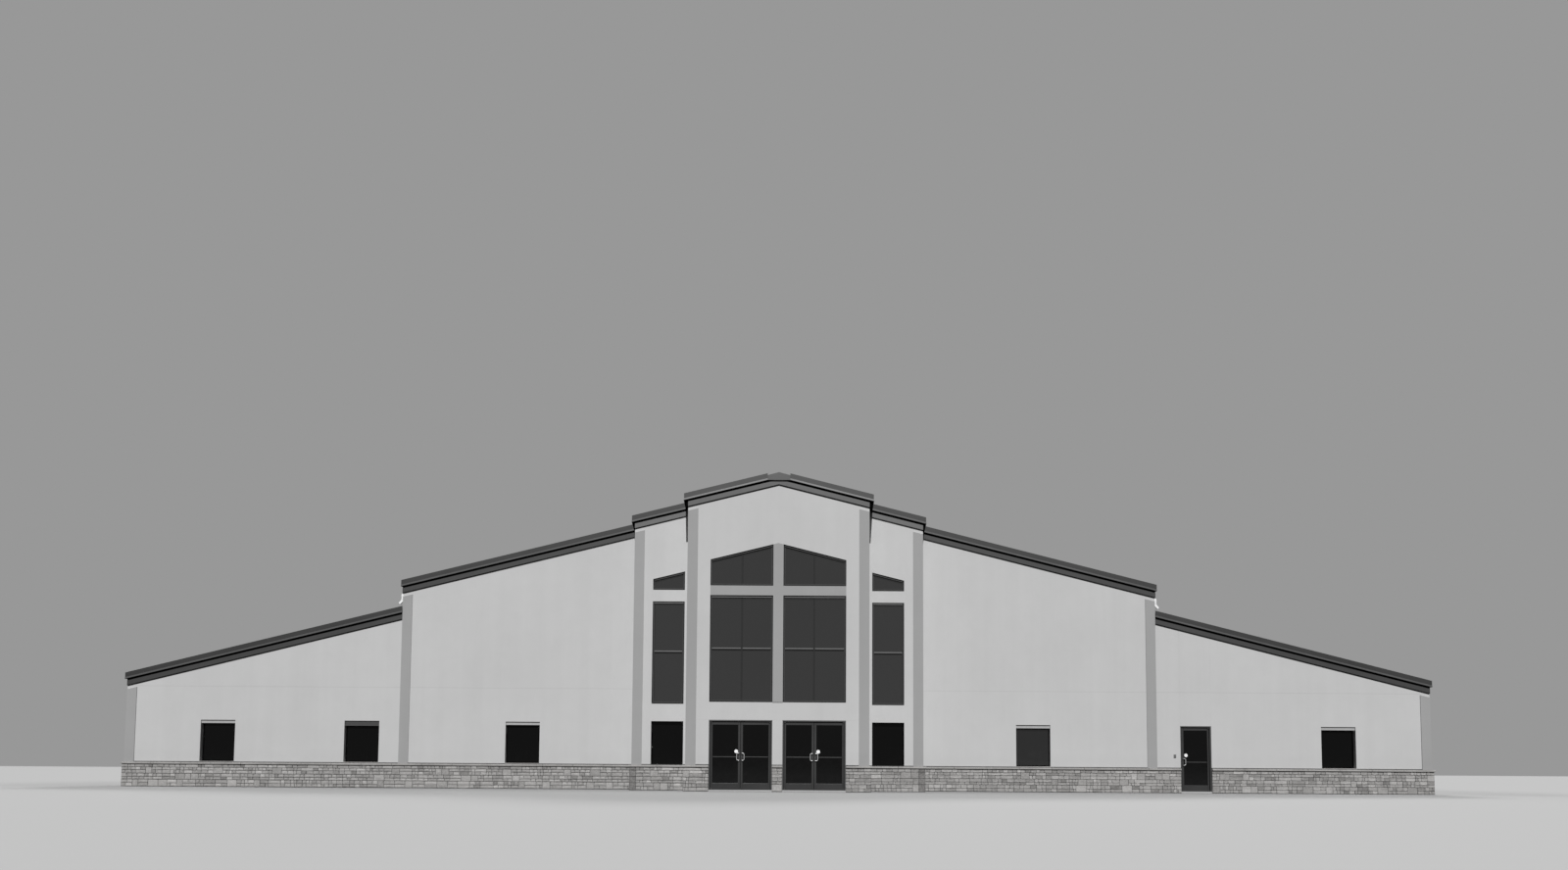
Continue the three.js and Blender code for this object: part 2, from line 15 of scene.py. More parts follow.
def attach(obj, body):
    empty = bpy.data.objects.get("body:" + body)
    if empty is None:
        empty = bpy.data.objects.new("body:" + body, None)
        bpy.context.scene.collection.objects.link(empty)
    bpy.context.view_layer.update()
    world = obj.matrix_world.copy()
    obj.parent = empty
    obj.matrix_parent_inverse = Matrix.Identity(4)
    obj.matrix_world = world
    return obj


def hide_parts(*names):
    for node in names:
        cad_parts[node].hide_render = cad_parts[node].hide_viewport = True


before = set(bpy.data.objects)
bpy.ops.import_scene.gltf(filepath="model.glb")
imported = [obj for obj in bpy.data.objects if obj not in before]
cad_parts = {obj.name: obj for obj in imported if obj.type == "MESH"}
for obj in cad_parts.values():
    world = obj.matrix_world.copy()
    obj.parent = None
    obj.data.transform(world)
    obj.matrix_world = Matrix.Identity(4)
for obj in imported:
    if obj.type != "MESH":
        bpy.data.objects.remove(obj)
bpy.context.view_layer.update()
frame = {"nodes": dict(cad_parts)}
nodes = frame["nodes"]

MODEL_SCALE = 0.5
MIDDLE_Y = 17.05  # the model's origin, behind the hall's front wall
TO_MODEL = Matrix.Diagonal((MODEL_SCALE, MODEL_SCALE, MODEL_SCALE, 1)) @ Matrix.Translation((0, -MIDDLE_Y, 0))
SEED = 11
SIDES = ((-1, "left"), (1, "right"))

# Plan
DEPTH = 36.6
WING_X = 21.0
HALL_X = 12.19
FLANK_X = 4.54
CENTRE_X = 2.77
FLANK_Y = -1.25
CENTRE_Y = -2.5
HAIR = 0.0008  # the gap that neighbouring pieces keep
THIN_GAP = 0.001  # and the one inside a piece

# Roof lines, as the fascia's lower edge
PITCH = 0.25
HALL_RIDGE = 9.35
WING_RIDGE = 8.49
SHEET = 0.300  # roof sheet above that line
RIDGE_HALF = 0.38  # of the cap over the ridge

# Stone base
BASE_TOP = 0.725
BASE_OUT = 0.06
CAP_TOP = 0.787
CAP_OUT = 0.09

# Openings, as distances from the building's middle and heights
HEAD = 2.15
SILL = 0.80
HALL_WINDOW = (7.667, 8.767)
WING_WINDOW = (17.48, 18.59)
INNER_WINDOW = (12.84, 13.96)
WING_DOOR = (12.95, 13.94)
ENTRY = (0.155, 2.065)
TALL_SILL = 2.693
BEAM = (5.943, 6.240)
TALL_HEAD = 7.042
FLANK_WINDOW = (2.945, 3.945)
FLANK_LOW_SILL = 0.79
FLANK_HEAD = 5.915
FLANK_TOP = (6.28, 6.62)  # sill and lower head of its sloping light
SIDE_WINDOWS = 7
SIDE_WINDOW_WIDTH = 1.11
BAR_Z = (4.274, 4.350)  # glazing bar across the tall lights
FLANK_BAR_Z = (4.290, 4.366)

# Doors
FLOOR = 0.05
DOOR_FRAME = 0.045
FRAME_SETBACK = 0.04
LEAF = 0.045
LEAF_GAP = 0.0105
LEAF_FACE = 0.07  # front of a leaf behind the wall's face
PIVOT_FACE = 0.058
HINGE_STILE = 0.052
LOCK_STILE = 0.066
TOP_RAIL = 0.085
BOTTOM_RAIL = 0.19


def hall_line(x):
    return HALL_RIDGE - PITCH * abs(x)


def wing_line(x):
    return WING_RIDGE - PITCH * abs(x)


# Finishes

class Flow:
    """The output of a shader node, used in sums as a number is."""

    def __init__(self, nodes, socket):
        self.nodes = nodes
        self.socket = socket

    def sum(self, operation, first, second):
        return self.nodes.make("ShaderNodeMath", {"operation": operation}, {0: first, 1: second})

    def __add__(self, other):
        return self.sum("ADD", self, other)

    def __radd__(self, other):
        return self.sum("ADD", other, self)

    def __sub__(self, other):
        return self.sum("SUBTRACT", self, other)

    def __rsub__(self, other):
        return self.sum("SUBTRACT", other, self)

    def __mul__(self, other):
        return self.sum("MULTIPLY", self, other)

    def __rmul__(self, other):
        return self.sum("MULTIPLY", other, self)

    def __gt__(self, other):
        return self.sum("GREATER_THAN", self, other)

    def __lt__(self, other):
        return self.sum("LESS_THAN", self, other)


class Nodes:
    """The nodes of a material or of the sky."""

    def __init__(self, owner):
        owner.use_nodes = True
        self.tree = owner.node_tree

    def make(self, kind, settings=None, inputs=None, out=0):
        made = self.tree.nodes.new(kind)
        for key, value in (settings or {}).items():
            setattr(made, key, value)
        for key, value in (inputs or {}).items():
            if isinstance(value, Flow):
                self.tree.links.new(value.socket, made.inputs[key])
            else:
                made.inputs[key].default_value = value
        return Flow(self, made.outputs[out])


class Finish(Nodes):
    """One procedural material. Constants go on the shader's own sockets."""

    def __init__(self, name, **constants):
        self.material = bpy.data.materials.new(name)
        super().__init__(self.material)
        self.shader = self.tree.nodes["Principled BSDF"]
        for socket, value in constants.items():
            self.shader.inputs[socket.replace("_", " ")].default_value = value

    def drive(self, **flows):
        for socket, flow in flows.items():
            self.tree.links.new(flow.socket, self.shader.inputs[socket.replace("_", " ")])
        return self.material

    def place(self, stretch=(1, 1, 1)):
        """Object coordinates in real metres, stretched along each axis."""
        spot = self.make("ShaderNodeTexCoord", out=3)
        scale = [axis / MODEL_SCALE for axis in stretch]
        return self.make("ShaderNodeMapping", {}, {"Vector": spot, "Scale": scale})

    def axes(self, place):
        split = self.make("ShaderNodeSeparateXYZ", {}, {0: place})
        return [Flow(self, axis) for axis in split.socket.node.outputs]

    def cloud(self, place, scale, detail=3.0, roughness=0.5):
        inputs = {"Vector": place, "Scale": scale, "Detail": detail, "Roughness": roughness}
        return self.make("ShaderNodeTexNoise", {}, inputs)

    def cells(self, place, scale):
        return self.make("ShaderNodeTexVoronoi", {}, {"Vector": place, "Scale": scale})

    def shaded(self, colour, shade):
        """A colour times a number from 0 to 1."""
        return self.blend(1.0, colour, self.make("ShaderNodeValToRGB", {}, {0: shade}), "MULTIPLY")

    def fit(self, value, low, high, to_low=0.0, to_high=1.0):
        inputs = {0: value, 1: low, 2: high, 3: to_low, 4: to_high}
        return self.make("ShaderNodeMapRange", {"clamp": True}, inputs)

    def blend(self, amount, first, second, mode="MIX"):
        settings = {"data_type": "RGBA", "blend_type": mode}
        return self.make("ShaderNodeMix", settings, {0: amount, 6: first, 7: second}, out=2)

    def relief(self, height, strength, distance):
        inputs = {"Strength": strength, "Distance": distance * MODEL_SCALE, "Height": height}
        return self.make("ShaderNodeBump", {}, inputs)


def grey(tone, warm=0.0):
    """A neutral colour of one display tone from 0 to 255."""
    value = (tone / 255 / 1.055 + 0.0521) ** 2.4 if tone > 10 else tone / 255 / 12.92
    return (value * (1 + warm), value, value * (1 - warm), 1)


JOINT_Z = 3.23  # control joint in the render
JOINT_WIDTH = (0.006, 0.012)  # where the joint's dark line starts and ends to fade
JOINT_FRONT = -0.35  # the joint isn't drawn further forward, on the bays
SPLASH = (0.78, 1.25)  # the render is darker between these heights
BAY_FADE = (0.45, 0.65)  # behind a bay's front, where its own tone ends
SHEEN_SPREAD = 0.08
GLASS_IOR = 1.8


def render_coat(name, tone, joint):
    """Sand-finished render with a little weathering, and a control joint across the hall and wings."""
    coat = Finish(name, Roughness=0.92, Specular_IOR_Level=0.18)
    place = coat.place()
    _, y, z = coat.axes(place)
    broad = coat.cloud(place, 0.35, detail=4.0, roughness=0.55)
    trowel = coat.cloud(place, 2.6, roughness=0.6)
    grain = coat.cloud(place, 170.0, detail=2.0, roughness=0.7)
    runs = coat.cloud(coat.place((3.2, 3.2, 0.16)), 1.0)
    shade = 0.955 + (broad - 0.5) * 0.12 + (trowel - 0.5) * 0.05 + (grain - 0.5) * 0.06 + (runs - 0.5) * 0.07
    shade = shade * coat.fit(z, *SPLASH, 0.955, 1.0)
    height = grain * 0.5 + trowel * 0.35
    if joint:
        away = coat.make("ShaderNodeMath", {"operation": "ABSOLUTE"}, {0: z - JOINT_Z})
        line = coat.fit(away, *JOINT_WIDTH, 1, 0) * (y > JOINT_FRONT - MIDDLE_Y)
        shade = shade * (1 - line * 0.10)
        height = height - line * 1.5
    colour = coat.shaded(grey(tone), shade)
    return coat.drive(Base_Color=colour, Normal=coat.relief(height, 0.22, 0.004))


def stone_face(name, low, high, attribute=None):
    """Split stone: each block has its own tone, with darker pits."""
    stone = Finish(name, Roughness=0.9, Specular_IOR_Level=0.25)
    place = stone.place()
    patch = stone.cloud(place, 5.0, detail=4.0, roughness=0.6)
    grit = stone.cloud(place, 60.0, roughness=0.65)
    pits = stone.fit(stone.cells(place, 34.0), 0.0, 0.35)
    if attribute:
        tone = stone.make("ShaderNodeAttribute", {"attribute_name": attribute}, {}, out=2)
    else:
        tone = stone.cloud(place, 1.1, detail=2.0)
    speck = stone.cloud(place, 22.0, roughness=0.7)
    mix = tone * 0.72 + (patch - 0.5) * 0.36 + (grit - 0.5) * 0.4 + (speck - 0.5) * 0.55 + 0.1
    colour = stone.blend(stone.fit(mix, 0.15, 0.85), grey(low, 0.03), grey(high, 0.02))
    dark = stone.fit(pits, 0.0, 0.5, 0.72, 1.0)
    colour = stone.shaded(colour, dark)
    height = grit * 0.6 + patch * 0.8 + pits * 0.4
    return stone.drive(Base_Color=colour, Normal=stone.relief(height, 0.6, 0.008))


def painted_metal(name, tone, roughness, metallic=0.0, bays=(), gloss=0.4):
    """Coated sheet metal, a little uneven; bays holds other tones for the outer and the centre bay."""
    metal = Finish(name, Metallic=metallic, Specular_IOR_Level=gloss)
    place = metal.place()
    y = metal.axes(place)[1]
    broad = metal.cloud(place, 0.8)
    fine = metal.cloud(place, 24.0, detail=2.0, roughness=0.6)
    runs = metal.cloud(metal.place((9, 9, 0.4)), 1.0, detail=2.0)
    shade = 0.93 + (broad - 0.5) * 0.2 + (fine - 0.5) * 0.1 + (runs - 0.5) * 0.14
    base = grey(tone)
    for front, bay_tone in zip((FLANK_Y, CENTRE_Y), bays):
        start, end = [front + behind - MIDDLE_Y for behind in BAY_FADE]
        base = metal.blend(metal.fit(y, start, end, 1, 0), base, grey(bay_tone))
    colour = metal.shaded(base, shade)
    rough = metal.fit(broad + fine * 0.3, 0.3, 0.9, roughness - SHEEN_SPREAD, roughness + SHEEN_SPREAD)
    return metal.drive(Base_Color=colour, Roughness=rough, Normal=metal.relief(broad, 0.05, 0.01))


def window_glass(name, tone, gloss):
    """Dark glass over an unlit room: a little base tone in slow darker and lighter patches, a painted
    reflection of the surroundings, and slow waves in the surface.
    """
    glass = Finish(name, Specular_IOR_Level=gloss, IOR=GLASS_IOR)
    place = glass.place()
    # Painted reflection: slow darker and lighter patches in the glass's tone.
    depth = glass.cloud(glass.place((0.9, 0.9, 0.5)), 1.0)
    colour = glass.shaded(grey(tone), 0.82 + depth * 0.36)
    film = glass.cloud(place, 7.0, detail=4.0, roughness=0.6)
    rough = glass.fit(film, 0.35, 0.75, 0.03, 0.11)
    wave = glass.cloud(place, 0.7, detail=1.0, roughness=0.4)
    return glass.drive(Base_Color=colour, Roughness=rough, Normal=glass.relief(wave, 0.04, 0.02))


def slab_concrete(name, tone):
    slab = Finish(name, Roughness=0.88, Specular_IOR_Level=0.25)
    place = slab.place()
    cloudy = slab.cloud(place, 0.8, detail=5.0, roughness=0.6)
    sand = slab.cloud(place, 90.0, detail=2.0, roughness=0.6)
    shade = 0.88 + (cloudy - 0.5) * 0.3 + (sand - 0.5) * 0.14
    colour = slab.shaded(grey(tone), shade)
    return slab.drive(Base_Color=colour, Normal=slab.relief(sand + cloudy, 0.25, 0.004))


WALL_COAT = render_coat("wall_render", 193, True)
BAND_COAT = render_coat("band_render", 158, False)
STONE = stone_face("split_stone", 104, 182, "stone_tone")
CAP_STONE = stone_face("cap_stone", 128, 178)
MORTAR = slab_concrete("base_mortar", 96)
FASCIA = painted_metal("fascia_metal", 55, 0.5, bays=(98, 88))
EDGE_METAL = painted_metal("roof_edge_metal", 42, 0.5, bays=(46, 58))
DRIP_METAL = painted_metal("drip_edge_metal", 82, 0.45, bays=(88, 130))
# Painted shade: near-black for the roof edges' undersides, the recess over each board and the side boards'
# front ends.
PAINTED_SHADOW = painted_metal("recess_shadow", 12, 0.9, gloss=0.0)
ROOF_METAL = painted_metal("roof_sheet", 108, 0.58, metallic=0.15)
SEAM_METAL = painted_metal("roof_seam", 116, 0.55, metallic=0.15)
CAP_METAL = painted_metal("ridge_cap", 116, 0.6)
PLATE_METAL = painted_metal("ridge_plate_metal", 80, 0.5)
FRAME_METAL = painted_metal("window_frame_metal", 20, 0.6, gloss=0.12)
TALL_FRAME = painted_metal("tall_frame_metal", 30, 0.6, gloss=0.12)
MULLION_METAL = painted_metal("mullion_metal", 44, 0.6, gloss=0.12)
# Painted highlight: the light tone of the glazing bars' tops and of the head strips over lights with a bar.
BAR_HIGHLIGHT_METAL = painted_metal("glazing_bar_highlight", 98, 0.5)
GLAZING_BEAD = painted_metal("glazing_bead_metal", 60, 0.5, gloss=0.2)
DOOR_METAL = painted_metal("door_metal", 53, 0.4, metallic=0.3)
# Light metal for thresholds, beads and the wall plate; on the door frames' edges and head flashing it is a
# painted highlight.
BEAD_METAL = painted_metal("door_bead_metal", 112, 0.4, metallic=0.3)
BAR_DARK = painted_metal("push_bar_metal", 84, 0.4, metallic=0.3)
BRIGHT_METAL = painted_metal("pull_metal", 205, 0.28, metallic=0.6)
SPOUT_METAL = painted_metal("spout_metal", 236, 0.45)
HEAD_PANEL = painted_metal("head_panel_metal", 168, 0.6)
DARK_HEAD = painted_metal("dark_window_head", 60, 0.5)
WHITE_PLATE = painted_metal("plain_white_plate", 248, 0.5)
# Near-black rubber for the gaskets; at the door heads it also paints the shade over the leaves.
GASKET = painted_metal("gasket_rubber", 14, 0.75)
TALL_GLASS = window_glass("tall_glass", 24, 0.68)
LOW_GLASS = window_glass("low_glass", 8, 0.08)
MID_GLASS = window_glass("mid_glass", 20, 0.42)
DOOR_GLASS = window_glass("door_glass", 8, 0.1)
SLAB = slab_concrete("floor_concrete", 176)

# Shapes


def facing(origin, along, out):
    """A wall's own frame: u along it, o outwards from its face, z up."""
    return Matrix((
        (along[0], out[0], 0, origin[0]),
        (along[1], out[1], 0, origin[1]),
        (0, 0, 1, 0),
        (0, 0, 0, 1),
    ))


SHARP = math.radians(40)  # edges from this angle on are rounded
SMOOTH = math.radians(38)  # and faces under this one shaded as one surface
FRONT = facing((0, 0), (1, 0), (0, -1))
FLANK_FRONT = facing((0, FLANK_Y), (1, 0), (0, -1))
CENTRE_FRONT = facing((0, CENTRE_Y), (1, 0), (0, -1))
BACK = facing((0, DEPTH), (1, 0), (0, 1))


def side_face(side, x):
    return facing((side * x, 0), (0, 1), (side, 0))


def mirror_x(wall, side):
    """The same wall seen from the other side of the building's middle."""
    return Matrix.Diagonal((side, 1, 1, 1)) @ wall


def paint(corners, finish):
    """Gives the faces at these corners one of their piece's finishes."""
    for corner in corners:
        for face in corner.link_faces:
            face.material_index = finish


def block(bm, wall, u, o, z, finish=0):
    """A straight block between two places along the wall, two depths and two heights."""
    size = Vector((u[1] - u[0], o[1] - o[0], z[1] - z[0]))
    middle = Vector((u[0] + u[1], o[0] + o[1], z[0] + z[1])) / 2
    matrix = wall @ Matrix.Translation(middle) @ Matrix.Diagonal((*size, 1))
    corners = bmesh.ops.create_cube(bm, size=1, matrix=matrix)["verts"]
    paint(corners, finish)
    return corners


def rectangle(u, z):
    return [(u[0], z[0]), (u[1], z[0]), (u[1], z[1]), (u[0], z[1])]


def extrude(bm, faces, step, finish):
    """Carries faces along a straight step, and gives one finish to all that this makes."""
    grown = bmesh.ops.extrude_face_region(bm, geom=faces, use_keep_orig=True)["geom"]
    corners = [part for part in grown if isinstance(part, bmesh.types.BMVert)]
    bmesh.ops.translate(bm, verts=corners, vec=step)
    for face in faces:
        face.material_index = finish
    paint(corners, finish)


def panel(bm, wall, outline, o, border=0.0, finish=0):
    """An outline in u and z carried from o[0] out to o[1]; with a border, only a frame that wide."""
    face = bm.faces.new([bm.verts.new(wall @ Vector((u, o[0], z))) for u, z in outline])
    face.normal_update()
    faces = [face]
    if border:
        faces = bmesh.ops.inset_region(bm, faces=[face], thickness=border, use_even_offset=True)["faces"]
        bmesh.ops.delete(bm, geom=[face], context="FACES_ONLY")
    extrude(bm, faces, wall.to_3x3() @ Vector((0, o[1] - o[0], 0)), finish)


def cylinder(bm, matrix, radius, depth, segments, finish=0):
    corners = bmesh.ops.create_cone(
        bm, cap_ends=True, segments=segments, radius1=radius, radius2=radius, depth=depth, matrix=matrix
    )["verts"]
    paint(corners, finish)


def rod(bm, wall, centre, o, radius, segments=16, finish=0):
    """A round bar pointing outwards, from o[0] to o[1]."""
    middle = Vector((centre[0], (o[0] + o[1]) / 2, centre[1]))
    turned = wall @ Matrix.Translation(middle) @ Matrix.Rotation(math.pi / 2, 4, "X")
    cylinder(bm, turned, radius, abs(o[1] - o[0]), segments, finish)


def upright(bm, wall, spot, z, radius):
    """A round pin that stands between two heights."""
    middle = Matrix.Translation((*spot, (z[0] + z[1]) / 2))
    cylinder(bm, wall @ middle, radius, z[1] - z[0], 12)


def bevel(bm, edges, width, segments):
    bmesh.ops.bevel(
        bm, geom=edges, offset=width, segments=segments, profile=0.5, affect="EDGES", material=-1,
        clamp_overlap=True
    )


def soften(bm, width, segments=1):
    """Rounds every sharp edge."""
    bm.normal_update()
    edges = [edge for edge in bm.edges if edge.is_manifold and edge.calc_face_angle(0) > SHARP]
    bevel(bm, edges, width, segments)


def carry(bm, outline, step, finish=0):
    """A flat outline of points in space, carried along a straight step."""
    face = bm.faces.new([bm.verts.new(point) for point in outline])
    extrude(bm, [face], Vector(step), finish)


def carry_along(bm, wall, section, foot, u):
    """A section of depths and heights over its foot, carried along a wall from u[0] to u[1]."""
    ring = [wall @ Vector((u[0], out, foot + up)) for out, up in section]
    carry(bm, ring, wall.to_3x3() @ Vector((u[1] - u[0], 0, 0)))


def add_object(name, data):
    made = bpy.data.objects.new(name, data)
    bpy.context.scene.collection.objects.link(made)
    return made


def piece(name, bm, finishes, body="building", stands_for=(), round_shape=False):
    """Carries a finished mesh into the half-size model, as an object of its own on its body."""
    bmesh.ops.transform(bm, matrix=TO_MODEL, verts=bm.verts)
    bmesh.ops.recalc_face_normals(bm, faces=bm.faces)
    mesh = bpy.data.meshes.new(name)
    bm.to_mesh(mesh)
    bm.free()
    if round_shape:
        mesh.shade_smooth()
        mesh.set_sharp_from_angle(angle=SMOOTH)
    for finish in finishes:
        mesh.materials.append(finish)
    made = add_object(name, mesh)
    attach(made, body)
    if stands_for:
        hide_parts(*stands_for)


# CAD pieces that keep their shape, in better finishes

KEPT = (
    (WALL_COAT, (
        "front_wall", "flank_wall", "centre_wall", "centre_upper_wall", "centre_door_pier", "side_wall",
        "clerestory", "back_wall",
    )),
    (BAND_COAT, (
        "wing_corner_band", "hall_corner_band", "flank_corner_band", "centre_corner_band", "window_cross",
    )),
    (ROOF_METAL, ("hall_roof", "wing_roof")),
    (SLAB, ("floor_slab",)),
    (DOOR_METAL, ("entry_door_frame", "wing_door_frame")),
)
for finish, names in KEPT:
    for node in nodes:
        if node.startswith(names):
            for held in nodes[node].material_slots:
                held.material = finish

# Stone base, in single stones

BED = 0.03  # face of the mortar behind the stones
SUNK = 0.012  # how far a stone goes into the mortar
UNEVEN = 0.014  # how far a stone may stand back from the base's face
STONE_FOOT = 0.008
COURSES = ((0.102, 0.115), (0.086, 0.106), (0.109, 0.090), (0.096,))  # up to an open joint under the cap
MORTAR_JOINT = 0.007
STONE_LENGTH = (0.17, 0.42)
SHORTEST_END = 0.15
LONGEST_TALL = 0.34  # of a stone that is two courses high
TALL_SHARE = 0.3
SPLIT_SHARE = 0.62  # of the stones that are cut in two
SPLIT_AT = (0.35, 0.65)
SHADE_MEAN, SHADE_SPREAD, SHADE_LOW = 0.58, 0.14, 0.25
CHIP = 0.012
ROUNDING = 0.006
BROAD_FACE = 0.006  # area from which a stone's face is rounded
WEAR, WEAR_SCALE = 0.0065, 9.0
DARK_CORNER = 0.20  # width of the darker corner stones on the outer bays
DARK_SHADE = 0.18
CAP_LENGTH = 0.98
CAP_JOINT = 0.005
CAP_FALL = 0.009  # of its front edge
FLASHING_OUT = 0.011
FLASHING_HIGH = 0.024


def stone(bm, tone, wall, u, z, shade):
    out = BASE_OUT - chance.uniform(0.0, UNEVEN)
    corners = block(bm, wall, (u[0], u[1] - MORTAR_JOINT), (BED - SUNK, out), (z[0], z[1] - MORTAR_JOINT))
    for corner in corners:
        corner[tone] = shade


def stone_run(bm, tone, wall, span, dark_corner):
    """One face of the base between two places along a wall: random courses, with the mortar behind."""
    block(bm, wall, span, (HAIR, BED), (0, BASE_TOP), 1)
    corner = span[1] - DARK_CORNER if dark_corner else span[1]
    z = STONE_FOOT
    for courses in COURSES:
        levels = [z]
        for course in courses:
            levels.append(levels[-1] + course)
        u = span[0] + HAIR
        while u < corner - 2 * HAIR:
            length = chance.uniform(*STONE_LENGTH)
            end = corner - HAIR if corner - u - length < SHORTEST_END else u + length
            if len(courses) == 2 and chance.random() < TALL_SHARE and end - u < LONGEST_TALL:
                stone(bm, tone, wall, (u, end), (levels[0], levels[-1]), stone_shade())
            else:
                for low, high in zip(levels, levels[1:]):
                    split = chance.uniform(*SPLIT_AT) * (end - u) + u
                    spans = ((u, split), (split, end)) if chance.random() < SPLIT_SHARE else ((u, end),)
                    for part in spans:
                        stone(bm, tone, wall, part, (low, high), stone_shade())
            u = end
        if dark_corner:
            stone(bm, tone, wall, (corner, span[1] - HAIR), (levels[0], levels[-1]), DARK_SHADE)
        z = levels[-1]


def stone_shade():
    return min(1.0, max(SHADE_LOW, chance.gauss(SHADE_MEAN, SHADE_SPREAD)))


def rough_stones(bm):
    """Chips the stones' edges, rounds their faces outwards and makes them uneven."""
    def stones():
        return [face for face in bm.faces if face.material_index == 0]

    bm.normal_update()
    bevel(bm, list({edge for face in stones() for edge in face.edges}), CHIP, 1)
    bm.normal_update()
    broad = [face for face in stones() if face.calc_area() > BROAD_FACE]
    bmesh.ops.poke(bm, faces=broad, offset=ROUNDING, center_mode="MEAN")
    for corner in {corner for face in stones() for corner in face.verts}:
        corner.co += noise.noise_vector(corner.co * WEAR_SCALE) * WEAR
        corner.co.z = max(corner.co.z, THIN_GAP)


def cap_run(bm, wall, span, grow=(0, 0)):
    """Sawn cap stones along one face of the base, sloped a little to shed water."""
    start, end = span[0] - grow[0], span[1] + grow[1]
    count = max(1, round((end - start) / CAP_LENGTH))
    step = (end - start) / count
    for i in range(count):
        u = (start + i * step + CAP_JOINT / 2, start + (i + 1) * step - CAP_JOINT / 2)
        corners = block(bm, wall, u, (HAIR, CAP_OUT), (BASE_TOP, CAP_TOP))
        for corner in corners:
            place = wall.inverted() @ corner.co
            if place.z > (BASE_TOP + CAP_TOP) / 2 and place.y > CAP_OUT / 2:
                corner.co.z -= CAP_FALL


def base(name, node, runs):
    """The stones, cap and flashing of one length of base, which stand for its node."""
    stones = bmesh.new()
    caps = bmesh.new()
    flashing = bmesh.new()
    tone = stones.verts.layers.float.new("stone_tone")
    for wall, span, grow, *dark_corner in runs:
        stone_run(stones, tone, wall, span, bool(dark_corner))
        cap_run(caps, wall, span, grow)
        flashed = (span[0] - grow[0] / 3, span[1] + grow[1] / 3 - (BASE_OUT if grow[1] > 0 else 0))
        block(flashing, wall, flashed, (HAIR, FLASHING_OUT), (CAP_TOP, CAP_TOP + FLASHING_HIGH))
    rough_stones(stones)
    soften(caps, 0.006)
    piece(f"{name}_stones", stones, [STONE, MORTAR], stands_for=[node])
    piece(f"{name}_cap", caps, [CAP_STONE], stands_for=[node])
    piece(f"{name}_flashing", flashing, [EDGE_METAL])


chance = random.Random(SEED)
noise.seed_set(SEED)
CAP_GROW = CAP_OUT - BASE_OUT
ENTRY_BASE_X = FLANK_X + CAP_OUT + HAIR
for side, word in SIDES:
    front = mirror_x(FRONT, side)
    back = mirror_x(BACK, side)
    outer = WING_X + BASE_OUT
    start = ENTRY_BASE_X if side < 0 else WING_DOOR[1]
    base(f"base_{word}", f"stone_base_{word}", [
        (front, (start, outer), (0, CAP_GROW)),
        (side_face(side, WING_X), (0, DEPTH), (-HAIR, -HAIR)),
        (back, (HAIR / 2, outer), (0, CAP_GROW)),
    ])
    flank = mirror_x(FLANK_FRONT, side)
    centre = mirror_x(CENTRE_FRONT, side)
    base(f"base_entry_{word}", f"stone_base_entry_{word}", [
        (side_face(side, FLANK_X), (FLANK_Y, -2 * THIN_GAP), (-HAIR, 0)),
        (flank, (CENTRE_X + BASE_OUT + THIN_GAP, FLANK_X + BASE_OUT), (-CAP_GROW, CAP_GROW), "dark corner"),
        (side_face(side, CENTRE_X), (CENTRE_Y, FLANK_Y - THIN_GAP), (-HAIR, 0)),
        (centre, (ENTRY[1], CENTRE_X + BASE_OUT), (0, CAP_GROW)),
    ])
base("base_right_inner", "stone_base_right_inner", [(FRONT, (ENTRY_BASE_X, WING_DOOR[0]), (0, 0))])
base("base_pier", "stone_base_pier", [(CENTRE_FRONT, (-ENTRY[0], ENTRY[0]), (0, 0))])

# Roof edges

# Sections outwards and above the line, with the finish of the face that follows each corner
# SHADE faces are painted shade: the undersides and the recess between each board and the edge over it are
# near-black.
BOARD, EDGE, STRIP, SHADE = range(4)
EDGE_FINISHES = [FASCIA, EDGE_METAL, DRIP_METAL, PAINTED_SHADOW]
EDGE_SECTION = (
    (HAIR, 0.222, SHADE), (0.100, 0.222, STRIP), (0.104, 0.226, STRIP), (0.104, 0.268, STRIP),
    (0.098, 0.275, EDGE), (0.096, 0.280, EDGE), (0.096, 0.424, EDGE), (0.090, 0.431, EDGE),
    (0.060, 0.431, EDGE), (0.054, 0.362, EDGE), (0.050, 0.304, EDGE), (HAIR, 0.304, EDGE),
)
BOARD_SECTION = (
    (HAIR, 0.009, SHADE), (0.048, 0.009, SHADE), (0.052, 0.013, BOARD), (0.052, 0.156, BOARD),
    (0.046, 0.161, SHADE), (0.044, 0.221, SHADE), (HAIR, 0.221, SHADE),
)
BOARD_GAP = 0.002  # between a board and the side board in front of it
BOARD_STOP = 0.08  # the bays' side boards end this far before the wall behind
RIDGE_TOP = 0.365  # the edge is lower in front of the ridge
RIDGE_SECTION = [(out, min(up, RIDGE_TOP), finish) for out, up, finish in EDGE_SECTION]
RIDGE_PLATE = 0.345  # half the width of the plates that close the ridge
# How much of the section's reach a roof has at its level sides
CENTRE_SPREAD = 1.30
FLANK_SPREAD = 0.96
BACK_SPREAD = 1.70  # the bays' sides where they meet the wall behind
HALL_SPREAD = 0.52


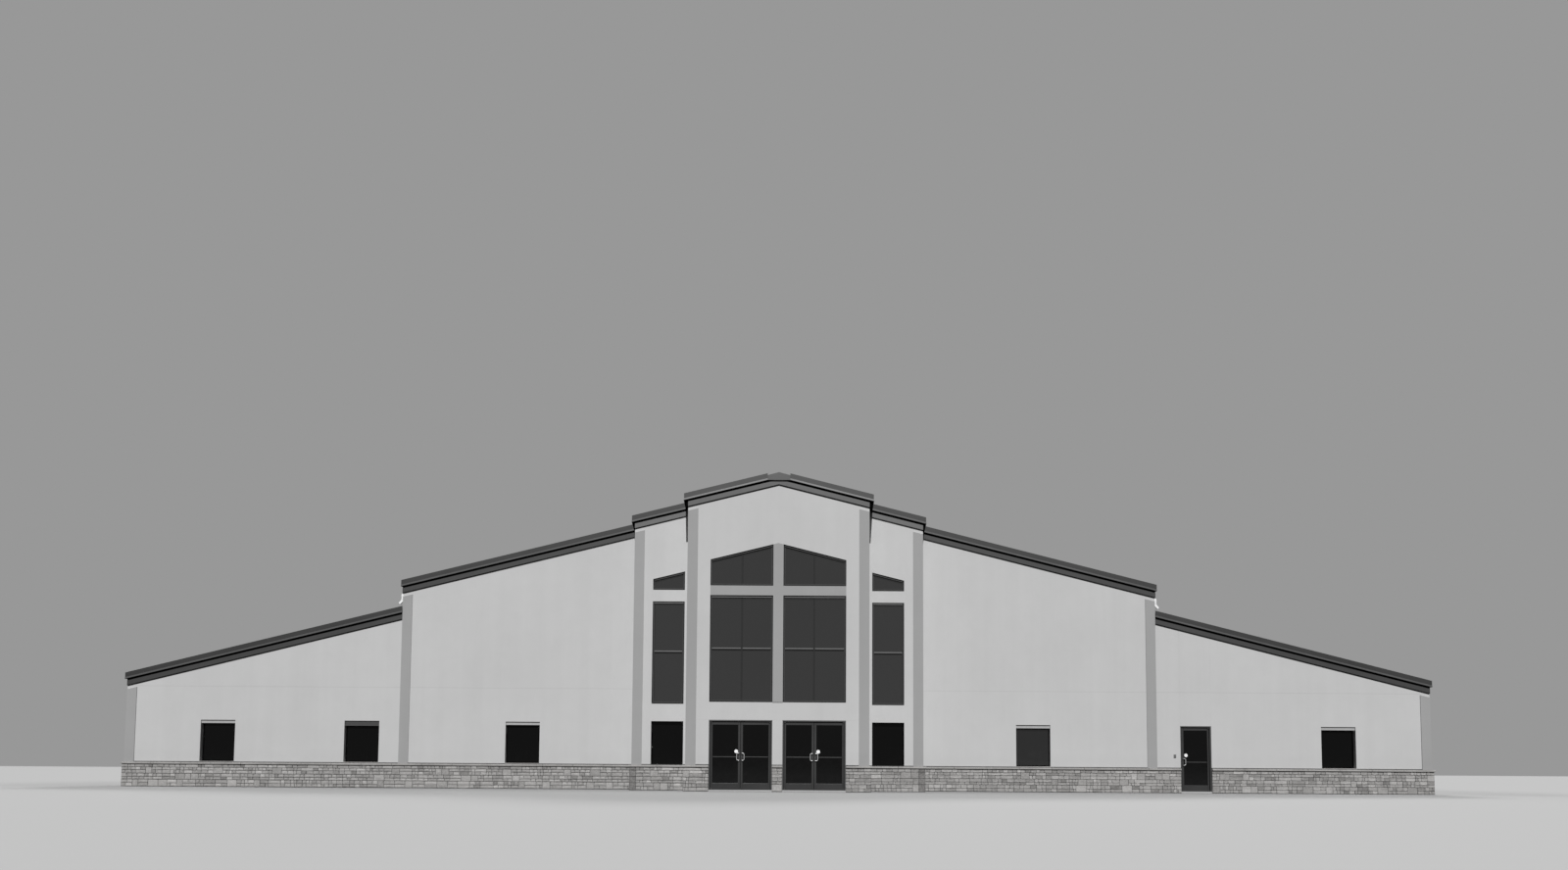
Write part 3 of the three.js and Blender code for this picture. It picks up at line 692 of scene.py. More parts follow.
def sweep(bm, section, stops, line, side, end_finish=BOARD):
    """A section swept along a roof's edge; a stop is a corner, with its reach across and ahead."""
    mark = bm.verts.layers.int["corner_of_section"]

    def spot(number, stop):
        x, y, across, ahead = stop
        out, up, _ = section[number]
        reach = x + across * out
        return Vector((side * reach, y + ahead * out, line(reach) + up))

    ring = []
    for number in range(len(section)):
        corner = bm.verts.new(spot(number, stops[0]))
        corner[mark] = number
        ring.append(corner)
    end = bm.faces.new(ring)
    swept = {end}
    for i, stop in enumerate(stops[1:]):
        grown = bmesh.ops.extrude_face_region(bm, geom=[end], use_keep_orig=i == 0)["geom"]
        for part in grown:
            if isinstance(part, bmesh.types.BMVert):
                part.co = spot(part[mark], stop)
                swept.update(part.link_faces)
            elif isinstance(part, bmesh.types.BMFace):
                end = part
    for face in swept:
        marks = {corner[mark] for corner in face.verts}
        if len(marks) == 2:
            low, high = sorted(marks)
            start = high if high - low > 1 else low
            face.material_index = section[start][2]
        else:
            face.material_index = end_finish


def roof_edge(roof, word, side, line, runs, bays):
    """The folded edge of one half of a roof, and the boards under it: a front and a side one to each bay."""
    bm = bmesh.new()
    bm.verts.layers.int.new("corner_of_section")
    for section, stops in runs:
        sweep(bm, section, stops, line, side)
    for x0, x1, y, spread, back, back_spread in bays:
        sweep(bm, BOARD_SECTION, [(x0, y, 0, -1), (x1, y, 0, -1)], line, side)
        # The side boards' front ends are painted shade, near-black for the shadow of the roof edge over them.
        sweep(bm, BOARD_SECTION, [(x1, y, spread, 0), (x1, back, back_spread, 0)], line, side, SHADE)
    sweep(bm, BOARD_SECTION, [(bays[-1][1], DEPTH, 0, 1), (bays[0][0], DEPTH, 0, 1)], line, side)
    piece(f"{roof}_roof_edge_{word}", bm, EDGE_FINISHES, stands_for=[f"{roof}_fascia_{word}"])


HALL_EDGE = [
    (RIDGE_PLATE, CENTRE_Y, 0, -1),
    (CENTRE_X, CENTRE_Y, CENTRE_SPREAD, -1),
    (CENTRE_X, FLANK_Y, BACK_SPREAD, -1),
    (FLANK_X, FLANK_Y, FLANK_SPREAD, -1),
    (FLANK_X, 0, BACK_SPREAD, -1),
    (HALL_X, 0, HALL_SPREAD, -1),
    (HALL_X, DEPTH, HALL_SPREAD, 1),
    (RIDGE_PLATE, DEPTH, 0, 1),
]
HALL_BAYS = (
    (HAIR / 2, CENTRE_X, CENTRE_Y, CENTRE_SPREAD, FLANK_Y - BOARD_STOP, BACK_SPREAD),
    (CENTRE_X + BOARD_GAP, FLANK_X, FLANK_Y, FLANK_SPREAD, -BOARD_STOP, BACK_SPREAD),
    (FLANK_X + BOARD_GAP, HALL_X, 0, HALL_SPREAD, DEPTH, HALL_SPREAD),
)
AT_RIDGE = (HAIR / 2, RIDGE_PLATE - HAIR)
RIDGE_FRONT = [(x, CENTRE_Y, 0, -1) for x in AT_RIDGE]
RIDGE_BACK = [(x, DEPTH, 0, 1) for x in reversed(AT_RIDGE)]
WING_IN = HALL_X + HAIR
WING_EDGE = [
    (WING_IN, 0, 0, -1), (WING_X, 0, HALL_SPREAD, -1), (WING_X, DEPTH, HALL_SPREAD, 1), (WING_IN, DEPTH, 0, 1)
]
WING_BAY = (WING_IN, WING_X, 0, HALL_SPREAD, DEPTH, HALL_SPREAD)
for side, word in SIDES:
    hall_runs = ((EDGE_SECTION, HALL_EDGE), (RIDGE_SECTION, RIDGE_FRONT), (RIDGE_SECTION, RIDGE_BACK))
    roof_edge("hall", word, side, hall_line, hall_runs, HALL_BAYS)
    roof_edge("wing", word, side, wing_line, ((EDGE_SECTION, WING_EDGE),), (WING_BAY,))

# Roof sheet

SEAM_STEP = 0.4575
FIRST_HALL_SEAM = CENTRE_Y + 0.2
FIRST_WING_SEAM = 0.16
LAST_SEAM = DEPTH - 0.1
SEAM_LAP = 0.03  # under the ridge cap, and past the wall's face at the eaves
SEAM_FOOT = 0.165  # where a wing's seams start, clear of the wall flashing
SEAM_SECTION = ((-0.005, 0.0), (0.005, 0.0), (0.005, 0.022), (0.017, 0.024), (0.017, 0.034), (-0.005, 0.034))
WALL_FLASHING = (
    (0.002, 0.0), (0.16, -0.04), (0.16, -0.028), (0.016, 0.014),
    (0.014, 0.155), (0.026, 0.170), (0.020, 0.178), (0.002, 0.160),
)
FLASHING_END = 0.002


def seams(name, side, y, x0, reach, line):
    """Standing seams down one slope, from x0 to where the roof ends, the first of them at y."""
    bm = bmesh.new()
    while y < LAST_SEAM:
        x1 = reach(y) + SEAM_LAP
        outline = [Vector((side * x0, y + across, line(x0) + SHEET + up)) for across, up in SEAM_SECTION]
        carry(bm, outline, (side * (x1 - x0), 0, line(x1) - line(x0)))
        y += SEAM_STEP
    piece(name, bm, [SEAM_METAL])


def hall_reach(y):
    """Where the hall's roof ends at one place along its depth, over the bays too."""
    if y < FLANK_Y:
        return CENTRE_X
    return FLANK_X if y < 0 else HALL_X


for side, word in SIDES:
    seams(f"hall_roof_seams_{word}", side, FIRST_HALL_SEAM, RIDGE_HALF - SEAM_LAP, hall_reach, hall_line)
    seams(f"wing_roof_seams_{word}", side, FIRST_WING_SEAM, HALL_X + SEAM_FOOT, lambda y: WING_X, wing_line)

    # Flashing where the wing's roof meets the hall's wall
    flashing = bmesh.new()
    foot = wing_line(HALL_X) + SHEET
    ring = [Vector((side * (HALL_X + out), FLASHING_END, foot + up)) for out, up in WALL_FLASHING]
    carry(flashing, ring, (0, DEPTH - 2 * FLASHING_END, 0))
    piece(f"wall_flashing_{word}", flashing, [SEAM_METAL])

# Ridge cap, folded down at both sides, and the plates that close its ends
CAP_FOLD, CAP_UNDER, CAP_HIGH = 0.306, 0.363, 0.373  # over the roof's line
CAP_EDGE = RIDGE_HALF + 0.012
CAP_REACH = 0.103
CAP_STOP = 0.046  # the folded sides stop behind the roof's edge
PLATE_FOOT, PLATE_SHOULDER, PLATE_PEAK = 0.218, 0.372, 0.378  # over the roof's line
PLATE_O = (0.047, 0.1055)
cap = bmesh.new()
for side in (-1, 1):
    folded = [
        (0.0, CAP_HIGH), (RIDGE_HALF, CAP_HIGH), (CAP_EDGE, CAP_UNDER), (CAP_EDGE, CAP_FOLD),
        (RIDGE_HALF, CAP_FOLD), (RIDGE_HALF, CAP_UNDER), (0.0, CAP_UNDER),
    ]
    ring = [Vector((side * x, CENTRE_Y - CAP_STOP, hall_line(x) + up)) for x, up in folded]
    carry(cap, ring, (0, DEPTH - CENTRE_Y + 2 * CAP_STOP, 0))
    flat = rectangle((0.0, RIDGE_PLATE - HAIR), (CAP_UNDER, CAP_HIGH))
    for y in (CENTRE_Y - CAP_REACH, DEPTH + CAP_STOP):
        ring = [Vector((side * x, y, hall_line(x) + up)) for x, up in flat]
        carry(cap, ring, (0, CAP_REACH - CAP_STOP, 0))
piece("ridge_cap", cap, [CAP_METAL])

closer = bmesh.new()
foot = hall_line(RIDGE_PLATE) + PLATE_FOOT
shoulder = hall_line(RIDGE_PLATE) + PLATE_SHOULDER
peak = HALL_RIDGE + PLATE_PEAK
shape = [
    (-RIDGE_PLATE, foot), (RIDGE_PLATE, foot), (RIDGE_PLATE, shoulder), (0, peak), (-RIDGE_PLATE, shoulder)
]
for wall in (CENTRE_FRONT, BACK):
    panel(closer, wall, shape, PLATE_O)
soften(closer, 0.004)
piece("ridge_end_plates", closer, [PLATE_METAL])

# Windows

# Depths are from the wall's face, outwards
LOW_FRAME = 0.042
LOW_FRAME_O = (-0.180, -0.105)
LOW_GASKET = 0.014
LOW_GASKET_O = (-0.150, -0.128)
LOW_GLASS_IN = 0.03
LOW_GLASS_O = (-0.166, -0.152)
LIGHT_HEAD = 0.105  # height of the metal panel at a window's head
DARK_HEAD_HIGH = 0.165
HEAD_PANEL_O = (-0.150, -0.040)
SILL_HIGH = 0.026
SILL_SECTION = ((-0.185, 0.001), (0.018, 0.001), (0.018, 0.014), (0.010, 0.018), (-0.185, 0.025))

TALL_FRAME_WIDE = 0.030
TALL_FRAME_O = (-0.098, -0.050)
TALL_GLASS_IN = 0.012
TALL_GLASS_O = (-0.1135, -0.100)
BEAD_IN = 0.0315  # the beads lie against the inside of the frame
BEAD_O = (-0.098, -0.046)
SILL_BEAD = 0.030
SILL_BEAD_O = (-0.098, -0.040)
JAMB_BEAD = 0.027
HEAD_STRIP = 0.032
HEAD_STRIP_O = (-0.098, -0.022)
TRIM_GAP = 0.0005
MULLION_AT = 1.10
MULLION_HALF = 0.023
MULLION_O = (-0.098, -0.052)
BAR_SHADED_FOOT = 0.038  # height of a bar's lower part, painted dark as the shade under its light top
BAR_TOP_O = (-0.098, -0.055)
BAR_FOOT_O = (-0.098, -0.066)


# Finishes, slot and rounding of a group's pieces; each group has a glass of its own
GLAZING = {
    "frames": ([FRAME_METAL, GASKET], "frame", 0.003),
    "tall_frames": ([TALL_FRAME, MULLION_METAL], "frame", 0.003),
    "beads": ([GLAZING_BEAD], "frame", 0.004),
    "bars": ([BAR_HIGHLIGHT_METAL], "frame", 0.004),
    "sills": ([CAP_STONE], "stone", 0),
    "heads": ([HEAD_PANEL, DARK_HEAD], "frame", 0.003),
    "panes": ([], "glass", 0),
}


class Glazing:
    """Gathers the frames, panes, sills and head panels of one group of windows."""

    def __init__(self):
        for word in GLAZING:
            setattr(self, word, bmesh.new())

    def low_window(self, wall, u, z=(SILL, HEAD), head_panel=LIGHT_HEAD, head_finish=0, sill=True):
        """One fixed light in a wall's opening, with a sill and a metal panel at its head."""
        top = z[1] - HAIR - head_panel
        inner = (u[0] + HAIR, u[1] - HAIR)
        foot = z[0] + (SILL_HIGH if sill else HAIR)
        outline = rectangle(inner, (foot, top))
        panel(self.frames, wall, outline, LOW_FRAME_O, LOW_FRAME)
        panel(self.frames, wall, inside(outline, LOW_FRAME), LOW_GASKET_O, LOW_GASKET, 1)
        panel(self.panes, wall, inside(outline, LOW_GLASS_IN), LOW_GLASS_O)
        if head_panel:
            head = rectangle(inner, (top + THIN_GAP, z[1] - HAIR))
            panel(self.heads, wall, head, HEAD_PANEL_O, finish=head_finish)
        if sill:
            carry_along(self.sills, wall, SILL_SECTION, z[0], inner)

    def tall_light(self, wall, outline, bar=None, mullion=None):
        """One light of the tall glazing, with a bar across it and a mullion up its middle."""
        panel(self.tall_frames, wall, inside(outline, HAIR), TALL_FRAME_O, TALL_FRAME_WIDE)
        panel(self.panes, wall, inside(outline, TALL_GLASS_IN), TALL_GLASS_O)
        left = min(u for u, _ in outline) + BEAD_IN
        right = max(u for u, _ in outline) - BEAD_IN
        foot = outline[0][1] + BEAD_IN
        trim_foot = foot + SILL_BEAD + TRIM_GAP
        under_head = BEAD_IN + HEAD_STRIP + 2 * TRIM_GAP
        block(self.beads, wall, (left, right), SILL_BEAD_O, (foot, foot + SILL_BEAD))
        strip = BEAD_IN + HEAD_STRIP
        corners = ((left, strip), (right, strip), (right, BEAD_IN), (left, BEAD_IN))
        head = [(u, ceiling(outline, u) - down) for u, down in corners]
        # Over a light with a bar the head strip takes the bars' light finish, a painted highlight along the
        # frame's lit lower edge.
        panel(self.bars if bar else self.beads, wall, head, HEAD_STRIP_O)
        for u in (left, right - JAMB_BEAD):
            jamb_top = min(ceiling(outline, u), ceiling(outline, u + JAMB_BEAD)) - under_head
            block(self.beads, wall, (u, u + JAMB_BEAD), BEAD_O, (trim_foot, jamb_top))
        left += JAMB_BEAD + TRIM_GAP
        right -= JAMB_BEAD + TRIM_GAP
        spans = [(left, right)]
        if mullion:
            faces = (mullion - MULLION_HALF, mullion + MULLION_HALF)
            spans = [(left, faces[0] - TRIM_GAP), (faces[1] + TRIM_GAP, right)]
            top = min(ceiling(outline, u) for u in faces) - under_head
            block(self.tall_frames, wall, faces, MULLION_O, (trim_foot, top), 1)
        # Each bar is a light top, a painted highlight, over a dark lower part in the frame's finish, painted
        # shade.
        if bar:
            for span in spans:
                block(self.bars, wall, span, BAR_TOP_O, (bar[0] + BAR_SHADED_FOOT, bar[1]))
                block(self.tall_frames, wall, span, BAR_FOOT_O, (bar[0], bar[0] + BAR_SHADED_FOOT - THIN_GAP))

    def finish(self, name, stands_for, glass):
        """Makes the group's pieces; its panes stand for the sheets of glass."""
        for word, (finishes, slot, round_off) in GLAZING.items():
            bm = getattr(self, word)
            if not bm.faces:
                bm.free()
                continue
            if round_off:
                soften(bm, round_off)
            piece(f"{name}_{word}", bm, finishes or [glass], stands_for=() if finishes else stands_for)


def inside(outline, margin):
    """The outline drawn in by a margin, for outlines with upright sides."""
    middle = sum(u for u, _ in outline) / len(outline)
    low = outline[0][1] + 0.1
    return [
        (u + margin if u < middle else u - margin, z + margin if z < low else z - margin) for u, z in outline
    ]


def ceiling(outline, at):
    """Height of an outline's sloping head at one place along it."""
    (u0, z0), (u1, z1) = outline[2], outline[3]
    return z0 + (z1 - z0) * (at - u0) / (u1 - u0)


def sloped(near, far, sill, far_head):
    """A light with upright sides whose head rises towards the building's middle."""
    return [(near, sill), (far, sill), (far, far_head), (near, far_head + PITCH * (far - near))]


def low_windows(name, sheet, windows, glass=LOW_GLASS):
    """A group of low windows, each given by its wall and span, and whatever else sets it apart."""
    group = Glazing()
    for window in windows:
        group.low_window(*window)
    group.finish(name, [sheet], glass)


def wall_windows():
    left = mirror_x(FRONT, -1)
    dark = (left, INNER_WINDOW, (SILL, HEAD), DARK_HEAD_HIGH, 1)
    low_windows("front_windows_left", "front_glass_left", [(left, HALL_WINDOW), (left, WING_WINDOW), dark])
    low_windows("hall_window_right", "hall_glass_right", [(FRONT, HALL_WINDOW)], MID_GLASS)
    low_windows("wing_window_right", "wing_glass_right", [(FRONT, WING_WINDOW)])
    starts = [DEPTH / SIDE_WINDOWS * (i + 0.5) - SIDE_WINDOW_WIDTH / 2 for i in range(SIDE_WINDOWS)]
    for side, word in SIDES:
        wall = side_face(side, WING_X)
        row = [(wall, (start, start + SIDE_WINDOW_WIDTH)) for start in starts]
        low_windows(f"side_windows_{word}", f"side_glass_{word}", row)
    spans = (HALL_WINDOW, INNER_WINDOW, WING_WINDOW)
    row = [(mirror_x(BACK, side), span) for side in (-1, 1) for span in spans]
    low_windows("back_windows", "back_glass", row)


def entrance_windows():
    near, far = ENTRY
    tall = Glazing()
    for side in (-1, 1):
        wall = mirror_x(CENTRE_FRONT, side)
        tall.tall_light(wall, rectangle((near, far), (TALL_SILL, BEAM[0])), BAR_Z, MULLION_AT)
        tall.tall_light(wall, sloped(near, far, BEAM[1], TALL_HEAD), mullion=MULLION_AT)
    tall.finish("tall_glazing", ["centre_glass"], TALL_GLASS)
    for side, word in SIDES:
        wall = mirror_x(FLANK_FRONT, side)
        flank = Glazing()
        flank.tall_light(wall, rectangle(FLANK_WINDOW, (TALL_SILL, FLANK_HEAD)), FLANK_BAR_Z)
        flank.tall_light(wall, sloped(*FLANK_WINDOW, *FLANK_TOP))
        flank.finish(f"flank_windows_{word}", [f"flank_glass_{word}"], TALL_GLASS)
        low = (wall, FLANK_WINDOW, (FLANK_LOW_SILL, HEAD), 0, 0, False)
        low_windows(f"flank_low_window_{word}", f"flank_glass_{word}", [low])


wall_windows()
entrance_windows()

# Doors

LEAF_LOW = FLOOR + LEAF_GAP
LEAF_HIGH = HEAD - HAIR - DOOR_FRAME - LEAF_GAP
PIVOT_ARM = 0.03
PIVOT_ARM_WIDE = 0.04
PIVOT_RADIUS = 0.008
LEAF_BEAD = 0.015
LEAF_BEAD_O = ((-0.084, -0.0735), (-0.1115, -0.101))  # in front of the pane and behind it
LEAF_GLASS_O = (-0.0985, -0.0865)
LEAF_BAR_O = (-0.0855, -0.079)
LEAF_BAR_Z = (1.035, 1.051)
LOCK_Z = 1.035
LOCK_RADII = (0.017, 0.010)
LOCK_OUT = (0.009, 0.013)
DISC_Z = 1.208
DISC_RADIUS = 0.056
DISC_OUT = (0.0005, 0.0045)  # in front of the leaf, as for the lock
ENTRY_DISC_IN = 0.122  # in from the leaf's free edge, as for the pull's bar
WING_DISC_IN = 0.135
WING_DROP = 0.05  # the wing door's fittings hang this much lower
PULL_IN = 0.106
PULL_Z = (0.937, 1.153)
PULL_REACH = 0.055
PULL_RADIUS = 0.0115
FOOT_BEND = 0.022  # where a pull leaves its stand-offs
BAR_BEND = 0.045
BEND_STEPS = 6


def pull_path(mount, bar, z):
    """The middle line of a pull, with its corners bent round."""
    face = -LEAF_FACE
    out = face + PULL_REACH
    path = [Vector(stop) for stop in (
        (mount, face, z[1]), (mount, out, z[1]), (bar, out, z[1]),
        (bar, out, z[0]), (mount, out, z[0]), (mount, face, z[0]),
    )]
    stops = [path[0]]
    bends = (FOOT_BEND, BAR_BEND, BAR_BEND, FOOT_BEND)
    for before, corner, after, bend in zip(path, path[1:], path[2:], bends):
        start = corner + (before - corner).normalized() * bend
        end = corner + (after - corner).normalized() * bend
        for step in range(BEND_STEPS + 1):
            along = step / BEND_STEPS
            stops.append(start.lerp(corner, along).lerp(corner.lerp(end, along), along))
    return stops + [path[-1]]


def bent_pull(bm, wall, mount, bar, z):
    """A round pull: two stand-offs on the stile, and a bar set over towards the glass."""
    points = [wall @ stop for stop in pull_path(mount, bar, z)]
    ends = (0, len(points) - 1)
    ring = None
    for i, point in enumerate(points):
        heading = (points[min(i + 1, ends[1])] - points[max(i - 1, 0)]).normalized()
        across = across - heading * across.dot(heading) if i else heading.orthogonal()
        across.normalize()
        turn = Matrix((across, heading.cross(across), heading)).transposed().to_4x4()
        made = bmesh.ops.create_circle(
            bm, cap_ends=i in ends, segments=14, radius=PULL_RADIUS, matrix=Matrix.Translation(point) @ turn
        )["verts"]
        edges = {edge for corner in made for edge in corner.link_edges if edge.other_vert(corner) in made}
        edges = list(edges)
        if ring:
            bmesh.ops.bridge_loops(bm, edges=ring + edges)
        ring = edges


def door_leaf(name, node, body, pivot, width, toward, face_y, disc_in, drop=0.0):
    """A glazed metal leaf hung at its pivot; toward is 1 where it reaches to the right."""
    wall = facing((pivot, face_y), (toward, 0), (0, -1))
    front, back = -LEAF_FACE, -LEAF_FACE - LEAF
    leaf = bmesh.new()
    for u in ((0, HINGE_STILE), (width - LOCK_STILE, width)):
        block(leaf, wall, u, (back, front), (LEAF_LOW, LEAF_HIGH))
    light = (HINGE_STILE, width - LOCK_STILE)
    block(leaf, wall, light, (back, front), (LEAF_LOW, LEAF_LOW + BOTTOM_RAIL))
    block(leaf, wall, light, (back, front), (LEAF_HIGH - TOP_RAIL, LEAF_HIGH))
    for z in (LEAF_LOW, LEAF_HIGH - PIVOT_ARM):
        block(leaf, wall, (0, PIVOT_ARM_WIDE), (front, -PIVOT_FACE + PIVOT_RADIUS), (z, z + PIVOT_ARM))
    soften(leaf, 0.004, 2)
    pins = ((FLOOR + HAIR, LEAF_LOW + PIVOT_ARM), (LEAF_HIGH - PIVOT_ARM, HEAD - 2 * HAIR - DOOR_FRAME))
    for z in pins:
        upright(leaf, wall, (0, -PIVOT_FACE), z, PIVOT_RADIUS)
    piece(name, leaf, [DOOR_METAL], body, [node])

    bead = bmesh.new()
    opening = (LEAF_LOW + BOTTOM_RAIL, LEAF_HIGH - TOP_RAIL)
    for o in LEAF_BEAD_O:
        panel(bead, wall, rectangle(light, opening), o, LEAF_BEAD)
    soften(bead, 0.003)
    inner = (light[0] + LEAF_BEAD + THIN_GAP, light[1] - LEAF_BEAD - THIN_GAP)
    block(bead, wall, inner, LEAF_BAR_O, [z - drop for z in LEAF_BAR_Z], 1)
    piece(f"{name}_beads", bead, [BEAD_METAL, BAR_DARK], body)

    pane = bmesh.new()
    panel(pane, wall, rectangle(light, opening), LEAF_GLASS_O)
    piece(f"{name}_glass", pane, [DOOR_GLASS], body)

    bright = bmesh.new()
    lock = (width - LOCK_STILE / 2, LOCK_Z - drop)
    bent_pull(bright, wall, lock[0], width - PULL_IN, [z - drop for z in PULL_Z])
    rod(bright, wall, lock, (front, front + LOCK_OUT[0]), LOCK_RADII[0], 20, 1)
    rod(bright, wall, lock, (front + LOCK_OUT[0] - THIN_GAP, front + LOCK_OUT[1]), LOCK_RADII[1], 16, 1)
    piece(f"{name}_pull", bright, [BRIGHT_METAL, BAR_DARK], body, round_shape=True)

    if disc_in:
        plate = bmesh.new()
        rod(plate, wall, (width - disc_in, DISC_Z), [front + out for out in DISC_OUT], DISC_RADIUS, 32)
        soften(plate, 0.0015)
        piece(f"{name}_disc", plate, [WHITE_PLATE], body, round_shape=True)


def hinged_doors():
    """Both pairs of the entrance, leaf a left of leaf b, and the wing's single door."""
    near, far = ENTRY
    hang = DOOR_FRAME + LEAF_GAP
    pairs = (("left", -far + HAIR, -near - HAIR, ("outer", "inner")),
             ("right", near + HAIR, far - HAIR, ("inner", "outer")))
    for word, x0, x1, places in pairs:
        width = (x1 - x0 - 2 * DOOR_FRAME - 3 * LEAF_GAP) / 2
        pivots = (x0 + hang, x1 - hang)
        for letter, pivot, toward, place in zip("ab", pivots, (1, -1), places):
            door_leaf(
                f"entry_{word}_leaf_{letter}", f"entry_{word}_door_{letter}", f"{word}_pair_{place}_leaf",
                pivot, width, toward, CENTRE_Y, ENTRY_DISC_IN if place == "outer" else None,
            )
    x0, x1 = WING_DOOR[0] + HAIR, WING_DOOR[1] - HAIR
    width = x1 - x0 - 2 * hang
    door_leaf("wing_leaf", "wing_door", "wing_leaf", x1 - hang, width, -1, 0, WING_DISC_IN, WING_DROP)


THRESHOLD_IN = DOOR_FRAME + 0.002
THRESHOLD_SECTION = ((-0.165, HAIR), (-0.045, HAIR), (-0.055, 0.006), (-0.155, 0.006))
# The edges are light strips up the jambs, a painted highlight along the frames' lit edges; the light head
# flashing paints the same highlight at the head.
EDGE_O = (-FRAME_SETBACK + 0.0005, -FRAME_SETBACK + 0.006)
EDGE_IN = (0.004, 0.012)
EDGE_Z = (FLOOR + 0.002, HEAD - HAIR - 0.004)
FLASHING_HIGHLIGHT_IN = 0.013
FLASHING_HIGHLIGHT_O = (EDGE_O[0], -0.012)
FLASHING_HIGHLIGHT_DOWN = (0.026, 0.003)  # under the opening's head, as for the seal below it
# The dark seal under the head flashing is a weather seal sized to paint the shade over the leaves' top rails.
SEAL_SHADE_IN = 0.047
SEAL_SHADE_O = (EDGE_O[0], -FRAME_SETBACK + 0.004)
SEAL_SHADE_DOWN = (0.0445, 0.027)


def door_surrounds():
    """Thresholds, and the fixed door frames' light edges and head flashing, which paint the highlight of the
    frames' lit edges, and a dark head seal that also paints the shade over the leaves.
    """
    sills = bmesh.new()
    edges = bmesh.new()
    near, far = ENTRY
    openings = ((CENTRE_FRONT, (-far, -near)), (CENTRE_FRONT, (near, far)), (FRONT, WING_DOOR))
    top = HEAD - HAIR
    for wall, (u0, u1) in openings:
        carry_along(sills, wall, THRESHOLD_SECTION, FLOOR, (u0 + THRESHOLD_IN, u1 - THRESHOLD_IN))
        for u in ((u0 + EDGE_IN[0], u0 + EDGE_IN[1]), (u1 - EDGE_IN[1], u1 - EDGE_IN[0])):
            block(edges, wall, u, EDGE_O, EDGE_Z)
        flashing = [top - down for down in FLASHING_HIGHLIGHT_DOWN]
        block(edges, wall, (u0 + FLASHING_HIGHLIGHT_IN, u1 - FLASHING_HIGHLIGHT_IN), FLASHING_HIGHLIGHT_O, flashing)
        seal = [top - down for down in SEAL_SHADE_DOWN]
        block(edges, wall, (u0 + SEAL_SHADE_IN, u1 - SEAL_SHADE_IN), SEAL_SHADE_O, seal, 1)
    piece("door_thresholds", sills, [BEAD_METAL])
    piece("door_frame_edges", edges, [BEAD_METAL, GASKET])


hinged_doors()
door_surrounds()

# Small fixtures

SPOUT_WIDE = 0.07
SPOUT_Y = (0.04, 0.12)
SPOUT_FALL = 0.19  # from its top to its bend
SPOUT_KICK = ((0, -0.04), (0.11, -0.16), (0.16, -0.105), (SPOUT_WIDE, 0))  # out and up from its bend
COLLARS = (0.02, 0.11)  # above the bend
COLLAR_X = (-0.001, 0.076)
COLLAR_Y = (0.034, 0.126)
COLLAR_HIGH = 0.016
PLATE_X = (12.725, 12.80)
PLATE_Z = (1.13, 1.235)
PLATE_OUT = 0.022
BUTTON_Z = 1.20
BUTTON_RADIUS = 0.012
BUTTON_OUT = (0.021, 0.027)


def downspout(side, word):
    """White outlet from the hall's gutter, kicked out over the wing's roof."""
    face = HALL_X + 0.002
    top = hall_line(face + SPOUT_WIDE) - 0.002
    bend = top - SPOUT_FALL
    kick = [(face + out, bend + up) for out, up in SPOUT_KICK]
    outline = [(face, top)] + kick + [(face + SPOUT_WIDE, top)]
    spout = bmesh.new()
    carry(spout, [Vector((side * x, SPOUT_Y[0], z)) for x, z in outline], (0, SPOUT_Y[1] - SPOUT_Y[0], 0))
    soften(spout, 0.012, 2)
    collar = sorted(side * (face + x) for x in COLLAR_X)
    for up in COLLARS:
        block(spout, Matrix.Identity(4), collar, COLLAR_Y, (bend + up, bend + up + COLLAR_HIGH))
    piece(f"downspout_{word}_outlet", spout, [SPOUT_METAL], stands_for=[f"downspout_{word}"])


def wall_plate():
    """The small plate with a button beside the wing door."""
    plate = bmesh.new()
    block(plate, FRONT, PLATE_X, (0.001, PLATE_OUT), PLATE_Z)
    soften(plate, 0.005, 2)
    rod(plate, FRONT, (sum(PLATE_X) / 2, BUTTON_Z), BUTTON_OUT, BUTTON_RADIUS, 16)
    piece("wall_plate", plate, [BEAD_METAL])


for side, word in SIDES:
    downspout(side, word)
wall_plate()

# Stage, light and camera

FLOOR_SIZE = 400
FLOOR_TONE = 154
FLOOR_DROP = 0.0005  # under the stones' feet
BACKDROP_TONE = 152
SKY_LIGHT = 0.06
# Strength, azimuth, elevation and spread; azimuth 0 is in front of the building and 90 to its right
LAMPS = {
    "key": (3.75, 0.7, 38, 0.6),
    "left_fill": (1.5, -102, 30, 25),
    "right_fill": (1.5, 102, 30, 25),
    "back_fill": (1.9, 170, 36, 15),
}
CAMERA_PLACE = (0.1184, -28.185, 0.3225)  # in the model's own metres
CAMERA_TIP, CAMERA_LEAN, CAMERA_TURN = 0.07359, 0.00658, -0.00125
CAMERA_LENS = 28.035
CAMERA_SHIFT = 0.1565


def stage():
    floor = bmesh.new()
    bmesh.ops.create_grid(floor, x_segments=1, y_segments=1, size=FLOOR_SIZE)
    mesh = bpy.data.meshes.new("floor")
    floor.to_mesh(mesh)
    floor.free()
    plain = Finish("plain_floor", Roughness=0.95, Specular_IOR_Level=0.1)
    plain.shader.inputs["Base Color"].default_value = grey(FLOOR_TONE)
    mesh.materials.append(plain.material)
    made = add_object("floor", mesh)
    made.location.z = -FLOOR_DROP
    made.visible_diffuse = False


